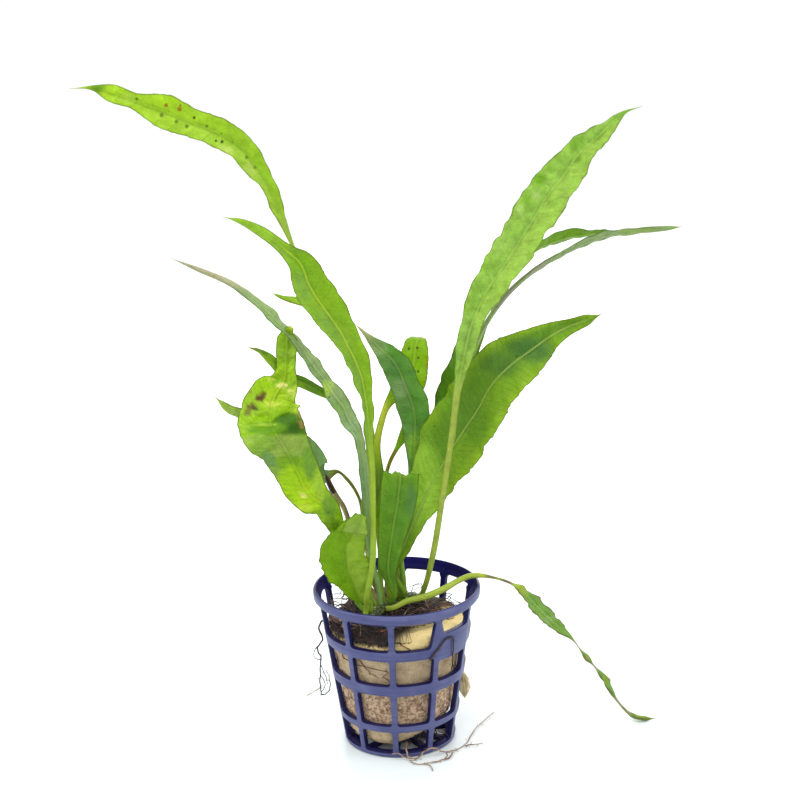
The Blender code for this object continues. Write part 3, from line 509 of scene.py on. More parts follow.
# %% Eighteen fronds and a dead stalk
FRONDS = {
    "frond_tall_left": ((0.29, 128), 12, (
        (-7, 6, 66, 0.8, 10), (-7.5, 10.5, 92, 0.8, 20), (-8.7, 12, 111.5, 0.8, 30),
        (-13.8, 13.5, 123.4, 0.7, 35), (-23, 14.5, 138, 0.6, 35), (-28, 15, 149.5, 0.6, 35),
        (-30, 15, 155, 1.1, 35), (-32, 15, 160.5, 1.9, 35), (-34.5, 15, 167.5, 2.4, 35),
        (-38.5, 15, 173.5, 3.5, 35), (-42.5, 14.5, 179, 4.1, 35), (-49.5, 14, 183.2, 4.3, 35),
        (-56, 13, 186, 4.3, 35), (-63.5, 11.5, 189.5, 4.9, 32), (-71, 10, 192.6, 2.3, 30),
        (-77, 9, 195, 2.6, 28), (-81.5, 8, 196.6, 0.9, 25), (-88, 6, 196.8, 0.3, 10))),
    "frond_front_left": ((0.02, 80), 22, (
        (-8.8, -14.6, 49.6, 0.9, 0), (-6.5, -17.8, 63.5, 0.9, 5), (-6.2, -17.8, 75, 0.9, 10),
        (-6, -17.5, 88, 1.0, 25), (-6.9, -17, 103.2, 1.7, 40), (-7.4, -17, 111.6, 2.6, 42),
        (-8.7, -17.2, 118.5, 3.4, 42), (-11.4, -17.6, 125.3, 4.3, 40), (-14.1, -18, 131.1, 4.6, 38),
        (-18.1, -19, 137.5, 5.4, 33), (-21.8, -19.6, 144.1, 5.3, 25), (-24, -20.5, 150.5, 3.7, 20),
        (-27.2, -21.5, 153.9, 2.1, 15), (-34.6, -24, 160.4, 1.4, 12), (-39, -25, 162.9, 0.8, 10),
        (-43.7, -26, 164.4, 0.3, 10))),
    "frond_small_left": ((0.41, 102), 10, (
        (-4.7, 4.2, 58, 0.7, 10), (-5.1, 6, 79, 0.7, 10), (-8.2, 9.3, 106, 0.8, 20),
        (-11.5, 10.3, 117.5, 0.9, 30), (-17.5, 11.5, 128.5, 1.3, 35), (-22, 12, 132.5, 1.6, 38),
        (-26.6, 12, 133.4, 1.5, 40), (-31, 12, 134.4, 0.7, 40), (-34.6, 11, 136.3, 0.3, 40))),
    "frond_thin_left": ((0.33, 92), 14, (
        (-7.8, -3, 62.4, 0.8, 5), (-7.8, -4.5, 72.3, 1.1, 15), (-8.3, -5.5, 82.4, 1.7, 20),
        (-9, -7, 92, 1.6, 28), (-10.4, -8.5, 99.1, 1.8, 30), (-12.4, -9.5, 102.6, 2.6, 30),
        (-13.7, -10.5, 106.5, 2.4, 30), (-16.8, -11.5, 111.5, 2.7, 30), (-18.8, -12.5, 115.5, 1.7, 40),
        (-22.1, -13, 120.2, 2.3, 45), (-25.1, -13.5, 125.3, 1.6, 50), (-29.6, -14, 130.9, 1.7, 55),
        (-36.2, -14.5, 138.1, 1.6, 55), (-43.2, -15, 144, 1.1, 60), (-52.3, -15.6, 148.5, 0.7, 60),
        (-60.8, -16, 152.4, 0.4, 60))),
    "frond_pointed_left": ((0.21, 135), 12, (
        (-9.8, 0, 62, 0.8, 10), (-8.8, 0, 84, 0.8, 15), (-9.6, -1.5, 91.7, 0.8, 18),
        (-10.4, -3, 97.6, 0.9, 20), (-13.9, -6, 105.5, 1.0, 25), (-16.6, -8, 108.9, 1.1, 28),
        (-20.9, -9.5, 111.7, 1.5, 30), (-24.8, -10.5, 114.3, 1.7, 33), (-28.8, -10.6, 116.2, 1.7, 35),
        (-31.7, -11, 119.0, 1.5, 36), (-34.2, -12, 122.2, 1.3, 38), (-37, -13, 124.6, 0.6, 40),
        (-40.6, -14, 126.0, 0.2, 40))),
    "frond_folded": ((0.14, 150), 8, (
        (-13, -10, 59.5, 1.4, 5), (-17, -13.5, 72.5, 2.6, 8), (-19.3, -15.5, 78.4, 3.8, 8),
        (-23.5, -18, 83, 5.4, 10), (-27.6, -22.3, 93.5, 6.4, 12), (-30, -26, 100.2, 7.1, 14),
        (-32.3, -28.5, 105.3, 8.7, 15), (-33.5, -24, 106.1, 8.9, 20), (-33.8, -18, 108.0, 8.9, 32),
        (-32.6, -14.5, 111.9, 7.1, 44), (-30.1, -13.6, 115.5, 4.4, 50), (-29.4, -13.4, 119.4, 2.9, 52),
        (-29.2, -13.4, 123, 3.0, 52), (-28.8, -13.5, 126.2, 3.0, 52), (-28.7, -13.6, 128.2, 2.7, 52),
        (-28.3, -13.8, 129.9, 1.6, 48), (-27.2, -14.2, 131.2, 0.7, 40))),
    "frond_back_left": ((0.50, 152), 10, (
        (-9.4, 8, 63, 0.6, 15), (-10.7, 7, 74, 0.5, 20), (-14, 5.5, 80.3, 0.55, 35),
        (-16.6, 4.5, 83, 0.55, 40), (-20.8, 3.3, 82, 2.6, 35), (-24, 2.2, 83.5, 5.8, 28),
        (-26.8, 1, 89.2, 6.5, 25),
        (-31, -1, 94.2, 5.5, 25), (-36.2, -3, 99.2, 3.9, 28), (-40.3, -4.2, 102.2, 2.5, 30),
        (-43.3, -5, 104, 1.8, 30), (-46.6, -5.6, 105.8, 1.5, 30), (-51, -7, 110.3, 0.3, 30))),
    "frond_short": ((0.12, 88), 8, (
        (-10.5, -11.6, 48.5, 1.5, 0), (-12.8, -12.8, 54.6, 5.2, -3), (-14.5, -14, 60.6, 7.4, -5),
        (-14.5, -15.8, 66.2, 6.5, -5), (-12.6, -17.6, 71, 4.7, -5), (-10.6, -19.2, 75, 3.0, -5),
        (-9.3, -21, 77.8, 1.8, -5), (-9.8, -22.8, 77, 2.4, -5), (-10.8, -23.6, 75.2, 3.4, -5),
        (-11.2, -24, 73.4, 3.8, -5))),
    "frond_torn": ((0.46, 52), 10, (
        (-2.3, -4.5, 54.6, 2.5, 8), (-0.7, -5.2, 67.4, 4.3, 12), (1.2, -5.5, 78, 5.5, 14),
        (2.1, -5.5, 85.3, 5.4, 14))),
    "frond_broad_right": ((0.62, 50), 18, (
        (-0.7, -0.5, 52, 1.2, 0), (2.5, 0, 60.7, 2.3, -8), (6.2, 0.6, 68.8, 4.3, -14),
        (10.5, 1, 77.8, 7.1, -20), (15.5, 0.7, 87, 9.8, -22), (19.8, -0.8, 94.6, 10.8, -22),
        (24.6, -2.5, 102.3, 10.6, -20), (29.3, -6.5, 111.9, 9.1, -14), (34.5, -9.5, 118, 8.3, -12),
        (39.6, -12.5, 122.6, 6.4, -10), (44.2, -15, 126.6, 4.4, -9), (48.6, -17.5, 129.8, 2.6, -8),
        (53.8, -20, 132.4, 1.7, -4), (58.0, -21.8, 134.4, 1.0, 0))),
    "frond_tall_right": ((0.94, 48), 10, (
        (11, -4.4, 59.3, 0.9, 0), (13.9, -9, 78.1, 0.9, -3), (16.9, -11.3, 97.1, 1.0, -8),
        (19.3, -10.2, 113.3, 1.5, -12), (21.3, -8.5, 121.9, 2.8, -15), (23.5, -6, 129.4, 3.4, -17),
        (26, -3.2, 134.2, 4.2, -19), (29.5, -1, 139.8, 5.3, -21), (34.5, 2, 146.2, 6.1, -22),
        (43, 7.5, 158, 6.7, -22), (47.2, 10.5, 163.8, 6.9, -21), (51.3, 13.5, 167.9, 6.2, -20),
        (56.2, 16.5, 174, 4.9, -18), (61.6, 20, 178, 3.4, -15), (66.5, 22.6, 182, 2.0, -13),
        (70.2, 24.5, 184.7, 0.6, -12), (75.8, 27, 186.1, 0.3, -10))),
    "frond_arching_right": ((0.59, 150), 10, (
        (-0.6, 10.4, 51, 0.8, -10), (4, 11, 60, 0.8, -20), (11, 15.5, 83, 0.9, -40),
        (20.3, 16.8, 106.4, 1.0, -50), (27.8, 18, 122.5, 1.1, -60), (32.5, 18.7, 129.4, 1.1, -62),
        (36.3, 19, 133.7, 1.2, -64), (40.8, 19.3, 137.6, 1.3, -66), (45.3, 19.6, 140.7, 1.5, -68),
        (50.2, 20, 143.1, 1.8, -70), (56, 20.7, 146.0, 1.9, -72), (61.3, 21.2, 148.0, 2.0, -73),
        (67, 21.6, 149.3, 2.0, -74), (72.2, 22, 149.8, 1.7, -74), (79.3, 22, 150.4, 1.1, -72),
        (84, 22, 150.7, 0.6, -70), (88, 22, 151, 0.2, -70))),
    "frond_dark_right": ((0.67, 132), 10, (
        (1.5, 13.5, 52, 0.8, -10), (4, 14.5, 59, 0.8, -15), (10, 15.5, 67, 0.8, -20),
        (18, 21, 92, 0.9, -30), (26, 26, 113, 1.3, -40), (34.7, 29, 132.6, 3.2, -64),
        (40, 30, 140.2, 4.2, -73), (46.4, 30.5, 144.6, 4.3, -77), (54, 31, 147.2, 4.0, -79),
        (59.6, 31.2, 147.9, 3.0, -78), (64, 31.4, 148.4, 1.6, -76), (67.5, 31.5, 148.8, 0.5, -74))),
    "frond_centre": ((0.69, 84), 16, (
        (1.3, 4, 60, 0.9, 0), (4, 6, 72, 1.0, 0), (5.8, 6.8, 83.5, 1.5, 2), (6.5, 7, 92, 3.3, 5),
        (6.6, 6.4, 98.7, 4.3, 8), (5.7, 5.7, 103.8, 4.8, 10), (4.1, 4.8, 108.3, 4.3, 12),
        (1.7, 3.2, 115, 4.2, 15), (-1.1, 2, 119, 3.3, 18), (-4.5, 0.6, 122.7, 1.7, 20),
        (-7.4, -1, 126.2, 0.6, 20), (-10.2, -2.4, 129.5, 0.3, 20))),
    "frond_spotted": ((0.50, 96), 8, (
        (-4.4, 0.5, 59, 0.9, 0), (-4.3, -0.5, 72, 1.7, 8), (-4.5, -0.5, 83.8, 1.7, 10),
        (-4.8, 1.3, 91.6, 1.2, 10), (-3.5, 4, 97.2, 1.0, 10), (-1.2, 7, 102.6, 1.2, 10),
        (1.4, 9, 105.5, 2.4, 8), (4.8, 10.6, 108.1, 4.9, 6),
        (6.5, 12.8, 112.4, 4.5, 4), (7.2, 14.8, 116.2, 4.1, 0), (7.7, 17, 118.7, 3.3, 0),
        (8.4, 19.5, 119.5, 2.4, 0), (9.2, 22, 118.9, 1.2, 0))),
    "frond_young": ((0.75, 118), 10, (
        (0.7, 7.8, 50, 0.6, 0), (-1.5, 8.8, 66, 0.6, 0), (-2.5, 9.5, 79, 0.6, 0), (-0.8, 10.2, 84.5, 0.6, 0),
        (1, 11, 87.6, 0.7, 0),
        (2.7, 12, 90.4, 1.3, 0), (4.9, 13.6, 94.3, 1.8, 0), (7.4, 15, 98.5, 1.2, 0),
        (9.6, 16, 101.9, 0.3, 0))),
    "frond_hidden_right": ((0.62, 95), 12, (
        (0.9, 6.2, 54, 0.8, -5), (5, 8.5, 63, 0.9, -10), (11.6, 9.5, 81, 1.9, -18), (15, 12, 95, 3.9, -22),
        (17.7, 14, 102.5, 4.8, -25), (20.5, 14, 112.3, 3.9, -25), (22.9, 13.8, 120.5, 2.6, -25),
        (24.6, 13.5, 129, 0.3, -25))),
    "frond_trailing": ((0.36, 18), 14, (
        (2.6, -6, 45.4, 0.9, 0), (9, -5.9, 47, 1.0, -10), (14.2, -3.9, 48.4, 1.0, -25),
        (18.8, -0.6, 49.7, 0.9, -40), (22.4, 1.2, 50.3, 0.9, -50), (25.7, 1.7, 50.1, 0.7, -50),
        (28.6, 2, 49.4, 0.45, -50), (32.5, 2, 48.2, 0.42, -45), (35.7, 2.4, 46.4, 0.6, -40),
        (37.4, 2.8, 45.0, 1.5, -35), (38.6, 2.9, 43.6, 1.4, -30), (40.4, 3, 41.3, 2.2, -25),
        (43.6, 3.2, 37.6, 2.3, -20), (46.8, 3.4, 34.2, 2.0, -20), (50.1, 3.6, 30.9, 1.5, -30),
        (52.8, 3.8, 28.4, 0.55, -40), (56.4, 4, 23.3, 0.45, -45), (57.8, 4.1, 21.4, 1.1, -45),
        (59, 4.2, 19.9, 0.45, -50), (61.4, 4.3, 16.8, 0.6, -50), (63.2, 4.3, 14.1, 1.7, -45),
        (64.9, 4.4, 10.9, 1.1, -50), (66.4, 4.5, 8.0, 0.5, -60), (68.7, 4.5, 4.8, 0.42, -70),
        (71.0, 4.5, 2.4, 0.6, -78), (72.9, 4.2, 1.4, 1.2, -80), (76.2, 4, 0.8, 1.1, -80),
        (79.4, 4, 0.7, 0.4, -82))),
}
DEAD_STALK = ((0.42, 150), 0, (
    (-12.6, 3, 63, 0.7, 0), (-15.2, 0.5, 73.5, 0.8, 0), (-17, -2.2, 77.5, 0.9, 0), (-18.4, -4, 81, 0.9, 0),
    (-19.8, -5.4, 85.5, 0.6, 0)))
print("fronds:", len(FRONDS))

# %% [markdown]
# ## What a living frond looks like
# A java fern's blade is leathery and a little see-through. Light from behind turns it yellow-green, its
# midrib is paler, fine side veins run out from the midrib, and a net of tiny veins fills the rest. The
# painted colour carries the broad changes, such as a pale flap. It also carries painted light: painted
# highlights, painted sheen and painted shade in a fold. The shader adds the veins, the mottling, the thin
# dark edge, a painted shadow beside the midrib and the spots of the spore cases. Part of the light passes
# through, which the translucent shader does.

# %% Painting a blade


def mixed(first, second, share):
    return tuple(a + (b - a) * share for a, b in zip(first, second))


def painter(look):
    """The colour of a point: two halves, a tip, paler edges, a stalk, and patches by place in mm, among them painted
    highlights, painted sheen and painted shade.
    """
    halves = [dye(*look[part]) for part in ("left", "right")]
    tip, edge, stalk = (dye(*look[part]) for part in ("tip", "edge", "stem"))
    patches = [(*where, dye(*tone), amount) for *where, tone, amount in look["patches"]]
    inner = look["patch_core"]

    def paint(u, share, half, place):
        colour = mixed(*halves, step_up(u, -0.15, 0.15))
        colour = mixed(colour, tip, step_up(share, look["tip_from"], 1))
        colour = mixed(colour, edge, look["edging"] * step_up(abs(u), 0.55, 1))
        if share < look["stalk_to"]:
            colour = mixed(stalk, colour, step_up(half, 0.9, 1.9))
        height = place.z + look["lean"] * (place.y + 18)
        for x, z, wide, high, tone, amount in patches:
            away = math.hypot((place.x - x) / wide, (height - z) / high)
            colour = mixed(colour, tone, amount * (1 - step_up(away, inner, 1)))
        return colour

    return paint


def leaf_finish(name, look):
    """The finish of one frond: its painted colour with veins, mottling, edge and spots."""
    bench = Bench(name, 0.36)
    painted = bench.read("paint", "Color")
    u, share, half = bench.parts(bench.read("blade"))
    across, along, side = bench.parts(bench.read("span"))
    drift = bench.cloud(260, 2)
    off_rib = abs(across)
    leafy = bench.maths("MAXIMUM", bench.rise(half, 1.0, 1.9), bench.rise(share, 0.62, 0.68))
    rib = bench.rise(off_rib, 0.40, 0.14) * bench.rise(half, 1.1, 2.4)
    rib_shadow = bench.rise(off_rib, 1.1, 0.45) * leafy - rib
    lanes = (along * 0.9 - off_rib * 0.62 + drift * 1.6) / look["vein_gap"]
    nearest = abs(bench.maths("FRACT", lanes) - 0.5)
    veins = bench.rise(nearest, 0.045, 0.0) * leafy * (1 - rib)
    net = bench.cells(1150)
    mesh_lines = bench.rise(net, 0.10, 0.0) * leafy
    mottle = bench.cloud(420, 4) - 0.5
    grain = bench.cloud(1900, 2) - 0.5
    rim_line = bench.rise(half - off_rib, 0.45, 0.10) * bench.rise(half, 0.5, 1.5)
    light = 1 + mottle * look["mottle"] + grain * 0.3 - mesh_lines * 0.08 - rib_shadow * 0.14
    tone = bench.vector("SCALE", painted, painted)
    bench.feed(tone.socket.node.inputs["Scale"], light)
    tone = bench.blend(tone, dye(*look["rib"]), rib * look["rib_share"])
    tone = bench.blend(tone, dye(*look["vein"]), veins * look["vein_share"])
    tone = bench.blend(tone, dye(*look["back"]), bench.rise(side, 0.0, -0.4) * leafy * 0.45)
    tone = bench.blend(tone, dye(58, 84, 14), rim_line * look["rim_share"])
    flat = bench.vector("MULTIPLY", bench.place, (1000, 0, 1000))
    for x, z, reach, spot_tone in look["spots"]:
        away = bench.vector("DISTANCE", flat, (x, 0, z), "Value")
        tone = bench.blend(tone, dye(*spot_tone), bench.rise(away, reach, reach * 0.45) * 0.85)
    tone = bench.vector("MULTIPLY", tone, look["balance"])
    bench.colour(tone)
    bench.rough(0.36 + mottle * 0.25 + veins * 0.08)
    bench.relief(
        bench.rise(net, 0.0, 0.35) * 0.35 + mottle * 0.9 - veins * 0.5 + rib * 0.5, 0.00022)
    bench.shader.inputs["Specular IOR Level"].default_value = look["gloss"]
    glow = bench.add("ShaderNodeBsdfTranslucent")
    lit = bench.blend(tone, dye(196, 228, 20), 0.22)
    bench.feed(glow.socket.node.inputs["Color"], lit)
    joined = bench.add("ShaderNodeMixShader", None, {0: look["see_through"]})
    bench.tree.links.new(bench.shader.outputs[0], joined.socket.node.inputs[1])
    bench.tree.links.new(glow.socket, joined.socket.node.inputs[2])
    bench.tree.links.new(joined.socket, bench.end.inputs["Surface"])
    return bench.material


MID = {
    "left": (118, 180, 42), "right": (112, 174, 40), "tip": (130, 195, 50), "tip_from": 0.85,
    "edge": (140, 198, 50), "edging": 0.5, "stem": (150, 190, 70), "patches": (), "spots": (),
    "mottle": 0.5, "rib": (176, 216, 104), "rib_share": 0.7, "vein": (168, 208, 96), "vein_share": 0.35,
    "back": (132, 172, 96), "rim_share": 0.6, "gloss": 0.16, "see_through": 0.32, "stalk_to": 0.6,
    "patch_core": 0.35, "lean": 0, "balance": (1.1, 0.88, 0.5)}
print("a mid-green leaf is", [round(v, 3) for v in dye(*MID["left"])], "in light")

# %% [markdown]
# ## The look of each frond
# No two fronds look the same. The tall left one is bright and spotted, the thin one shows its grey-green
# underside, and the folded one is crinkled, lit from behind and browned at one edge, with painted
# highlights on its crinkles and painted shade in the pocket under its fold. Each frond changes only what is
# its own: colours as they look on a screen, patches and spots with their place and size in millimetres,
# and how strongly the blade waves and crinkles. Some patches are painted light: painted highlights,
# painted sheen and painted shade.

# %% The looks
RUST = (150, 96, 28)
SORE = (48, 44, 18)
LOOKS = {
    "frond_tall_left": {
        "left": (156, 212, 92), "right": (148, 208, 62), "tip": (168, 224, 66), "tip_from": 0.55,
        "edge": (160, 216, 80), "stem": (150, 192, 104), "wave": 0.7, "wavelength": 13, "quilt": 0.16,
        "see_through": 0.42, "rib": (120, 176, 50), "rib_share": 0.45, "vein_share": 0.12,
        "patches": (
            (-46.3, 177.7, 3.5, 2.4, (186, 224, 150), 0.8), (-39.4, 171.7, 2.4, 3.4, (180, 222, 136), 0.8),
            (-43.3, 180.5, 5, 3.4, (140, 198, 60), 0.7), (-80.6, 197.0, 3.0, 2.4, (96, 160, 44), 0.8),
            (-62.2, 193.1, 6, 3.4, (164, 224, 56), 0.8), (-72.5, 193.5, 3.0, 2, (176, 226, 112), 0.7),
            (-32.6, 161.4, 2, 5, (158, 208, 90), 0.6)),
        "spots": (
            (-62.1, 191.1, 0.75, RUST), (-58.4, 189.8, 0.85, RUST), (-58.1, 190.8, 0.5, RUST),
            (-54.5, 187.2, 0.6, SORE), (-51.0, 184.7, 0.6, (84, 130, 40)), (-63.4, 188.4, 0.8, (84, 120, 36)),
            (-59.4, 186.4, 0.7, (90, 130, 40)), (-56.6, 184.9, 0.7, (84, 120, 36)),
            (-46.9, 180.2, 0.6, (20, 24, 10)), (-48.6, 180.5, 0.5, SORE), (-40.1, 175.5, 0.7, (90, 140, 40)),
            (-37.9, 172.5, 0.7, (100, 150, 50)), (-70.0, 193.2, 0.6, (90, 130, 40)),
            (-47.0, 182.4, 0.5, (100, 160, 44)), (-43.9, 180.0, 0.5, (100, 160, 44)))},
    "frond_front_left": {
        "left": (122, 178, 82), "right": (128, 188, 48), "tip": (152, 214, 76), "tip_from": 0.72,
        "stem": (150, 194, 84), "wave": 0.5, "rib": (176, 220, 84), "rib_share": 0.55, "vein_share": 0.18,
        "see_through": 0.36,
        "patches": (
            (-23.9, 150.7, 5, 4.5, (120, 186, 36), 0.8), (-18.9, 139.8, 4.5, 5, (134, 192, 40), 0.6),
            (-12.0, 128.0, 3.2, 6, (130, 184, 66), 0.6), (-33.6, 159.5, 7, 3.5, (158, 220, 90), 0.7),
            (-24.5, 154.5, 2.8, 2, (110, 168, 70), 0.6))},
    "frond_small_left": {
        "left": (150, 206, 84), "right": (136, 194, 66), "tip": (150, 206, 90), "stem": (130, 176, 70),
        "see_through": 0.38, "wave": 0.2},
    "frond_thin_left": {
        "left": (122, 170, 108), "right": (134, 178, 118), "tip": (150, 160, 140), "tip_from": 0.8,
        "edge": (104, 150, 88), "stem": (104, 156, 84), "wave": 0.35, "wavelength": 11, "crinkle": 0.4,
        "rib": (166, 198, 150), "rib_share": 0.35, "vein_share": 0.1, "see_through": 0.22, "gloss": 0.3,
        "balance": (1.45, 1.08, 1.02),
        "patches": (
            (-18.2, 113.0, 2.6, 3.2, (158, 212, 92), 0.95), (-25.2, 125.1, 3, 5, (118, 158, 104), 0.6),
            (-14.7, 107.5, 3, 3, (118, 176, 84), 0.6), (-11.6, 99.5, 2.4, 5, (128, 184, 130), 0.7),
            (-9.2, 83.4, 2.4, 9, (96, 148, 92), 0.7), (-46, 146, 14, 5, (166, 180, 150), 0.6)),
        "spots": ((-17.6, 110.4, 0.4, (80, 110, 60)), (-48.0, 146.6, 0.5, (140, 130, 110)))},
    "frond_pointed_left": {
        "left": (140, 200, 60), "right": (92, 152, 44), "tip": (150, 158, 130), "tip_from": 0.88,
        "stem": (110, 164, 60), "rib": (176, 214, 120), "rib_share": 0.5, "wave": 0.15, "vein_share": 0.1,
        "patches": ((-22, 112.5, 4, 3, (92, 150, 56), 0.7), (-33, 122.5, 3, 2.4, (146, 206, 60), 0.6))},
    "frond_folded": {
        "left": (146, 208, 34), "right": (140, 202, 38), "tip": (196, 226, 110), "tip_from": 0.975,
        "edge": (150, 204, 60), "edging": 0.3, "stem": (126, 184, 70), "wave": 0.35, "wavelength": 9,
        "crinkle": 0.5, "quilt": 0.12, "mottle": 0.6, "see_through": 0.4, "rib_share": 0.0,
        "vein": (206, 240, 120), "vein_gap": 1.7, "vein_share": 0.22, "gloss": 0.25, "ragged": 0.03,
        "tapers": False, "rim_share": 0.75, "patch_core": 0.72, "lean": 0.266, "balance": (1.12, 0.9, 0.5),
        "patches": (
            (-28.6, 125.7, 3.9, 5.3, (140, 194, 62), 0.85), (-28.9, 119.4, 3.9, 2.8, (158, 214, 40), 0.8),
            (-35.9, 117.8, 3.0, 4.4, (160, 220, 30), 0.8), (-39.5, 111.0, 3.0, 4.4, (150, 208, 44), 0.7),
            (-32.8, 112.0, 5.4, 3.7, (176, 228, 50), 0.7), (-26.3, 112.4, 2.4, 3.7, (188, 236, 104), 0.85),
            # The near-white patches here are painted highlights on the crinkles of the upper blade.
            (-26.0, 107.2, 1.8, 3.1, (176, 224, 90), 0.8), (-30.7, 115.6, 2.1, 0.9, (232, 250, 196), 0.95),
            (-33.7, 117.5, 1.5, 0.6, (206, 242, 120), 0.8),
            (-28.2, 113.9, 1.2, 0.7, (224, 248, 176), 0.85),
            (-33.4, 110.3, 2.7, 0.8, (214, 244, 130), 0.7), (-36.4, 107.2, 3.0, 0.7, (120, 176, 20), 0.7),
            # The darkest patches here are painted shade in the pocket under the fold.
            (-29.8, 109.3, 2.4, 0.7, (140, 196, 30), 0.7), (-28.4, 104.4, 5.4, 4.0, (64, 124, 2), 1.0),
            (-34.8, 103.4, 7.0, 2.2, (104, 172, 12), 0.95), (-25.4, 103.0, 3.6, 2.2, (52, 108, 0), 0.8),
            (-35.4, 104.4, 4.5, 0.5, (168, 220, 90), 0.8),
            (-40.7, 104.6, 1.5, 2.5, (150, 208, 60), 0.7), (-28.9, 98.0, 8.2, 4.1, (150, 194, 108), 1.0),
            (-36.4, 99.0, 5.1, 3.4, (134, 188, 84), 0.95), (-39.5, 99.9, 1.8, 2.2, (150, 200, 96), 0.7),
            (-34.7, 94.2, 2.7, 2.8, (112, 166, 124), 0.9), (-32.3, 90.9, 1.5, 2.8, (126, 178, 120), 0.7),
            (-29.1, 93.2, 3.6, 3.1, (120, 180, 40), 0.8), (-28.5, 85.8, 5.1, 7.5, (166, 226, 22), 1.0),
            (-24.1, 82.7, 4.5, 5.3, (180, 236, 34), 0.95), (-25.7, 79.4, 3.0, 1.6, (196, 238, 90), 0.8),
            # The near-white patch here is a painted highlight on the lower blade.
            (-25.8, 83.3, 1.2, 0.9, (244, 252, 206), 0.95), (-31.6, 87.9, 1.2, 4.4, (170, 222, 50), 0.5),
            (-23.2, 93.1, 2.4, 5.6, (118, 178, 74), 0.95), (-20.9, 85.9, 2.1, 5.6, (168, 220, 84), 0.9),
            (-18.5, 79.3, 2.1, 4.4, (122, 180, 78), 0.9), (-18.4, 74.4, 2.4, 2.8, (128, 184, 60), 0.8),
            (-18.9, 77.8, 0.5, 0.5, (70, 110, 40), 0.8), (-37.1, 112.1, 1.4, 1.2, (88, 60, 44), 1.0),
            (-35.8, 113.2, 0.9, 0.9, (104, 74, 46), 0.9), (-39.3, 109.8, 1.8, 0.8, (96, 84, 44), 0.95),
            (-40.5, 108.1, 1.2, 1.2, (112, 106, 58), 0.8), (-38.2, 109.0, 0.9, 0.6, (60, 46, 34), 0.9),
            (-24.9, 106.0, 0.5, 4.0, (170, 140, 104), 0.9), (-39.7, 114.2, 0.9, 0.9, (130, 120, 50), 0.6)),
        "spots": ()},
    "frond_back_left": {
        "left": (118, 168, 100), "right": (120, 168, 110), "tip": (172, 218, 84), "tip_from": 0.72,
        "balance": (1.1, 0.9, 0.8), "back": (164, 208, 90),
        "edge": (112, 166, 92), "stem": (136, 148, 74), "wave": 0.5, "rib": (150, 190, 120),
        "patches": ((-16.4, 83.0, 2.2, 2, (108, 128, 60), 0.8),)},
    "frond_short": {
        "left": (116, 178, 10), "right": (140, 192, 66), "tip": (132, 178, 100), "tip_from": 0.76,
        "edge": (128, 186, 40), "stem": (140, 190, 80), "wave": 0.4, "wavelength": 7, "ragged": 0.09,
        "tapers": False, "rib": (96, 156, 20), "rib_share": 0.6, "see_through": 0.38, "vein_share": 0.12,
        "patches": (
            (-16.4, 58.6, 2.6, 5, (100, 164, 8), 0.6), (-9.9, 57.0, 3.2, 8, (140, 190, 78), 0.7),
            (-17.4, 66.5, 3, 4, (120, 184, 16), 0.7))},
    "frond_torn": {
        "left": (114, 172, 48), "right": (108, 168, 56), "tip": (118, 176, 46), "tip_from": 0.8,
        "stem": (130, 184, 60), "torn": 1.0, "tapers": False, "wave": 0.5, "rib": (160, 206, 90),
        "rib_share": 0.5, "balance": (0.82, 0.78, 0.62),
        "patches": (
            (5.0, 76.5, 2.4, 8, (98, 148, 84), 0.75), (1.8, 84.6, 3.5, 1.6, (150, 196, 60), 0.7),
            (-1.5, 64, 3, 9, (116, 180, 44), 0.6))},
    "frond_broad_right": {
        "left": (106, 168, 38), "right": (122, 182, 38), "tip": (124, 186, 26), "tip_from": 0.84,
        "edge": (150, 206, 34), "edging": 0.75, "stem": (128, 184, 50), "wave": 0.9, "wavelength": 19,
        "rib": (160, 206, 104), "rib_share": 0.7, "vein": (156, 204, 76), "vein_share": 0.5,
        "vein_gap": 1.9, "quilt": 0.05, "gloss": 0.2, "see_through": 0.26, "balance": (0.82, 0.68, 0.5),
        "patches": (
            # The first two patches are painted blue-grey sheen on the upper blade.
            (39.5, 123.0, 9, 5, (74, 134, 62), 0.9), (31, 117.5, 8, 5, (86, 144, 56), 0.8),
            (22.5, 100, 8, 9, (96, 158, 46), 0.7), (10.9, 93.2, 6, 7, (98, 168, 26), 0.6),
            (16.0, 104.0, 5, 5, (104, 174, 20), 0.6), (40, 114.8, 7, 3, (142, 200, 40), 0.6),
            (8.0, 80.0, 8, 20, (170, 238, 86), 0.9), (46.8, 127.4, 3, 2.4, (120, 186, 44), 0.6)),
        "spots": ((35.6, 120.6, 0.6, (58, 110, 44)), (19.0, 107.4, 0.5, (52, 100, 16)),
                  (12.2, 96.9, 0.4, (60, 110, 20)), (6.0, 96.4, 0.4, (70, 120, 20)))},
    "frond_tall_right": {
        "left": (148, 208, 72), "right": (160, 216, 76), "tip": (122, 192, 34), "tip_from": 0.86,
        "edge": (156, 212, 70), "stem": (172, 206, 78), "wave": 0.6, "wavelength": 15, "crinkle": 0.7,
        "mottle": 0.9, "quilt": 0.2, "see_through": 0.42, "rib": (186, 224, 100), "rib_share": 0.12,
        "balance": (0.95, 0.78, 1.08), "vein_share": 0.2,
        "patches": (
            (44.2, 167.3, 2.6, 2.6, (118, 190, 24), 0.8), (40.2, 161.8, 2, 2.2, (124, 192, 34), 0.7),
            (26.9, 144.5, 2, 2.4, (128, 192, 40), 0.7), (55.4, 177.0, 4, 3, (124, 196, 40), 0.6),
            # These two pale patches are painted highlights.
            (43.0, 163.0, 1.6, 1.4, (196, 238, 130), 0.7), (38.2, 159.3, 1.8, 1.8, (190, 236, 120), 0.7),
            (22.6, 125.1, 4, 7, (150, 206, 84), 0.6), (32, 150.0, 3, 4, (170, 226, 96), 0.5)),
        "spots": ((30.6, 151.7, 0.4, (90, 150, 30)),)},
    "frond_arching_right": {
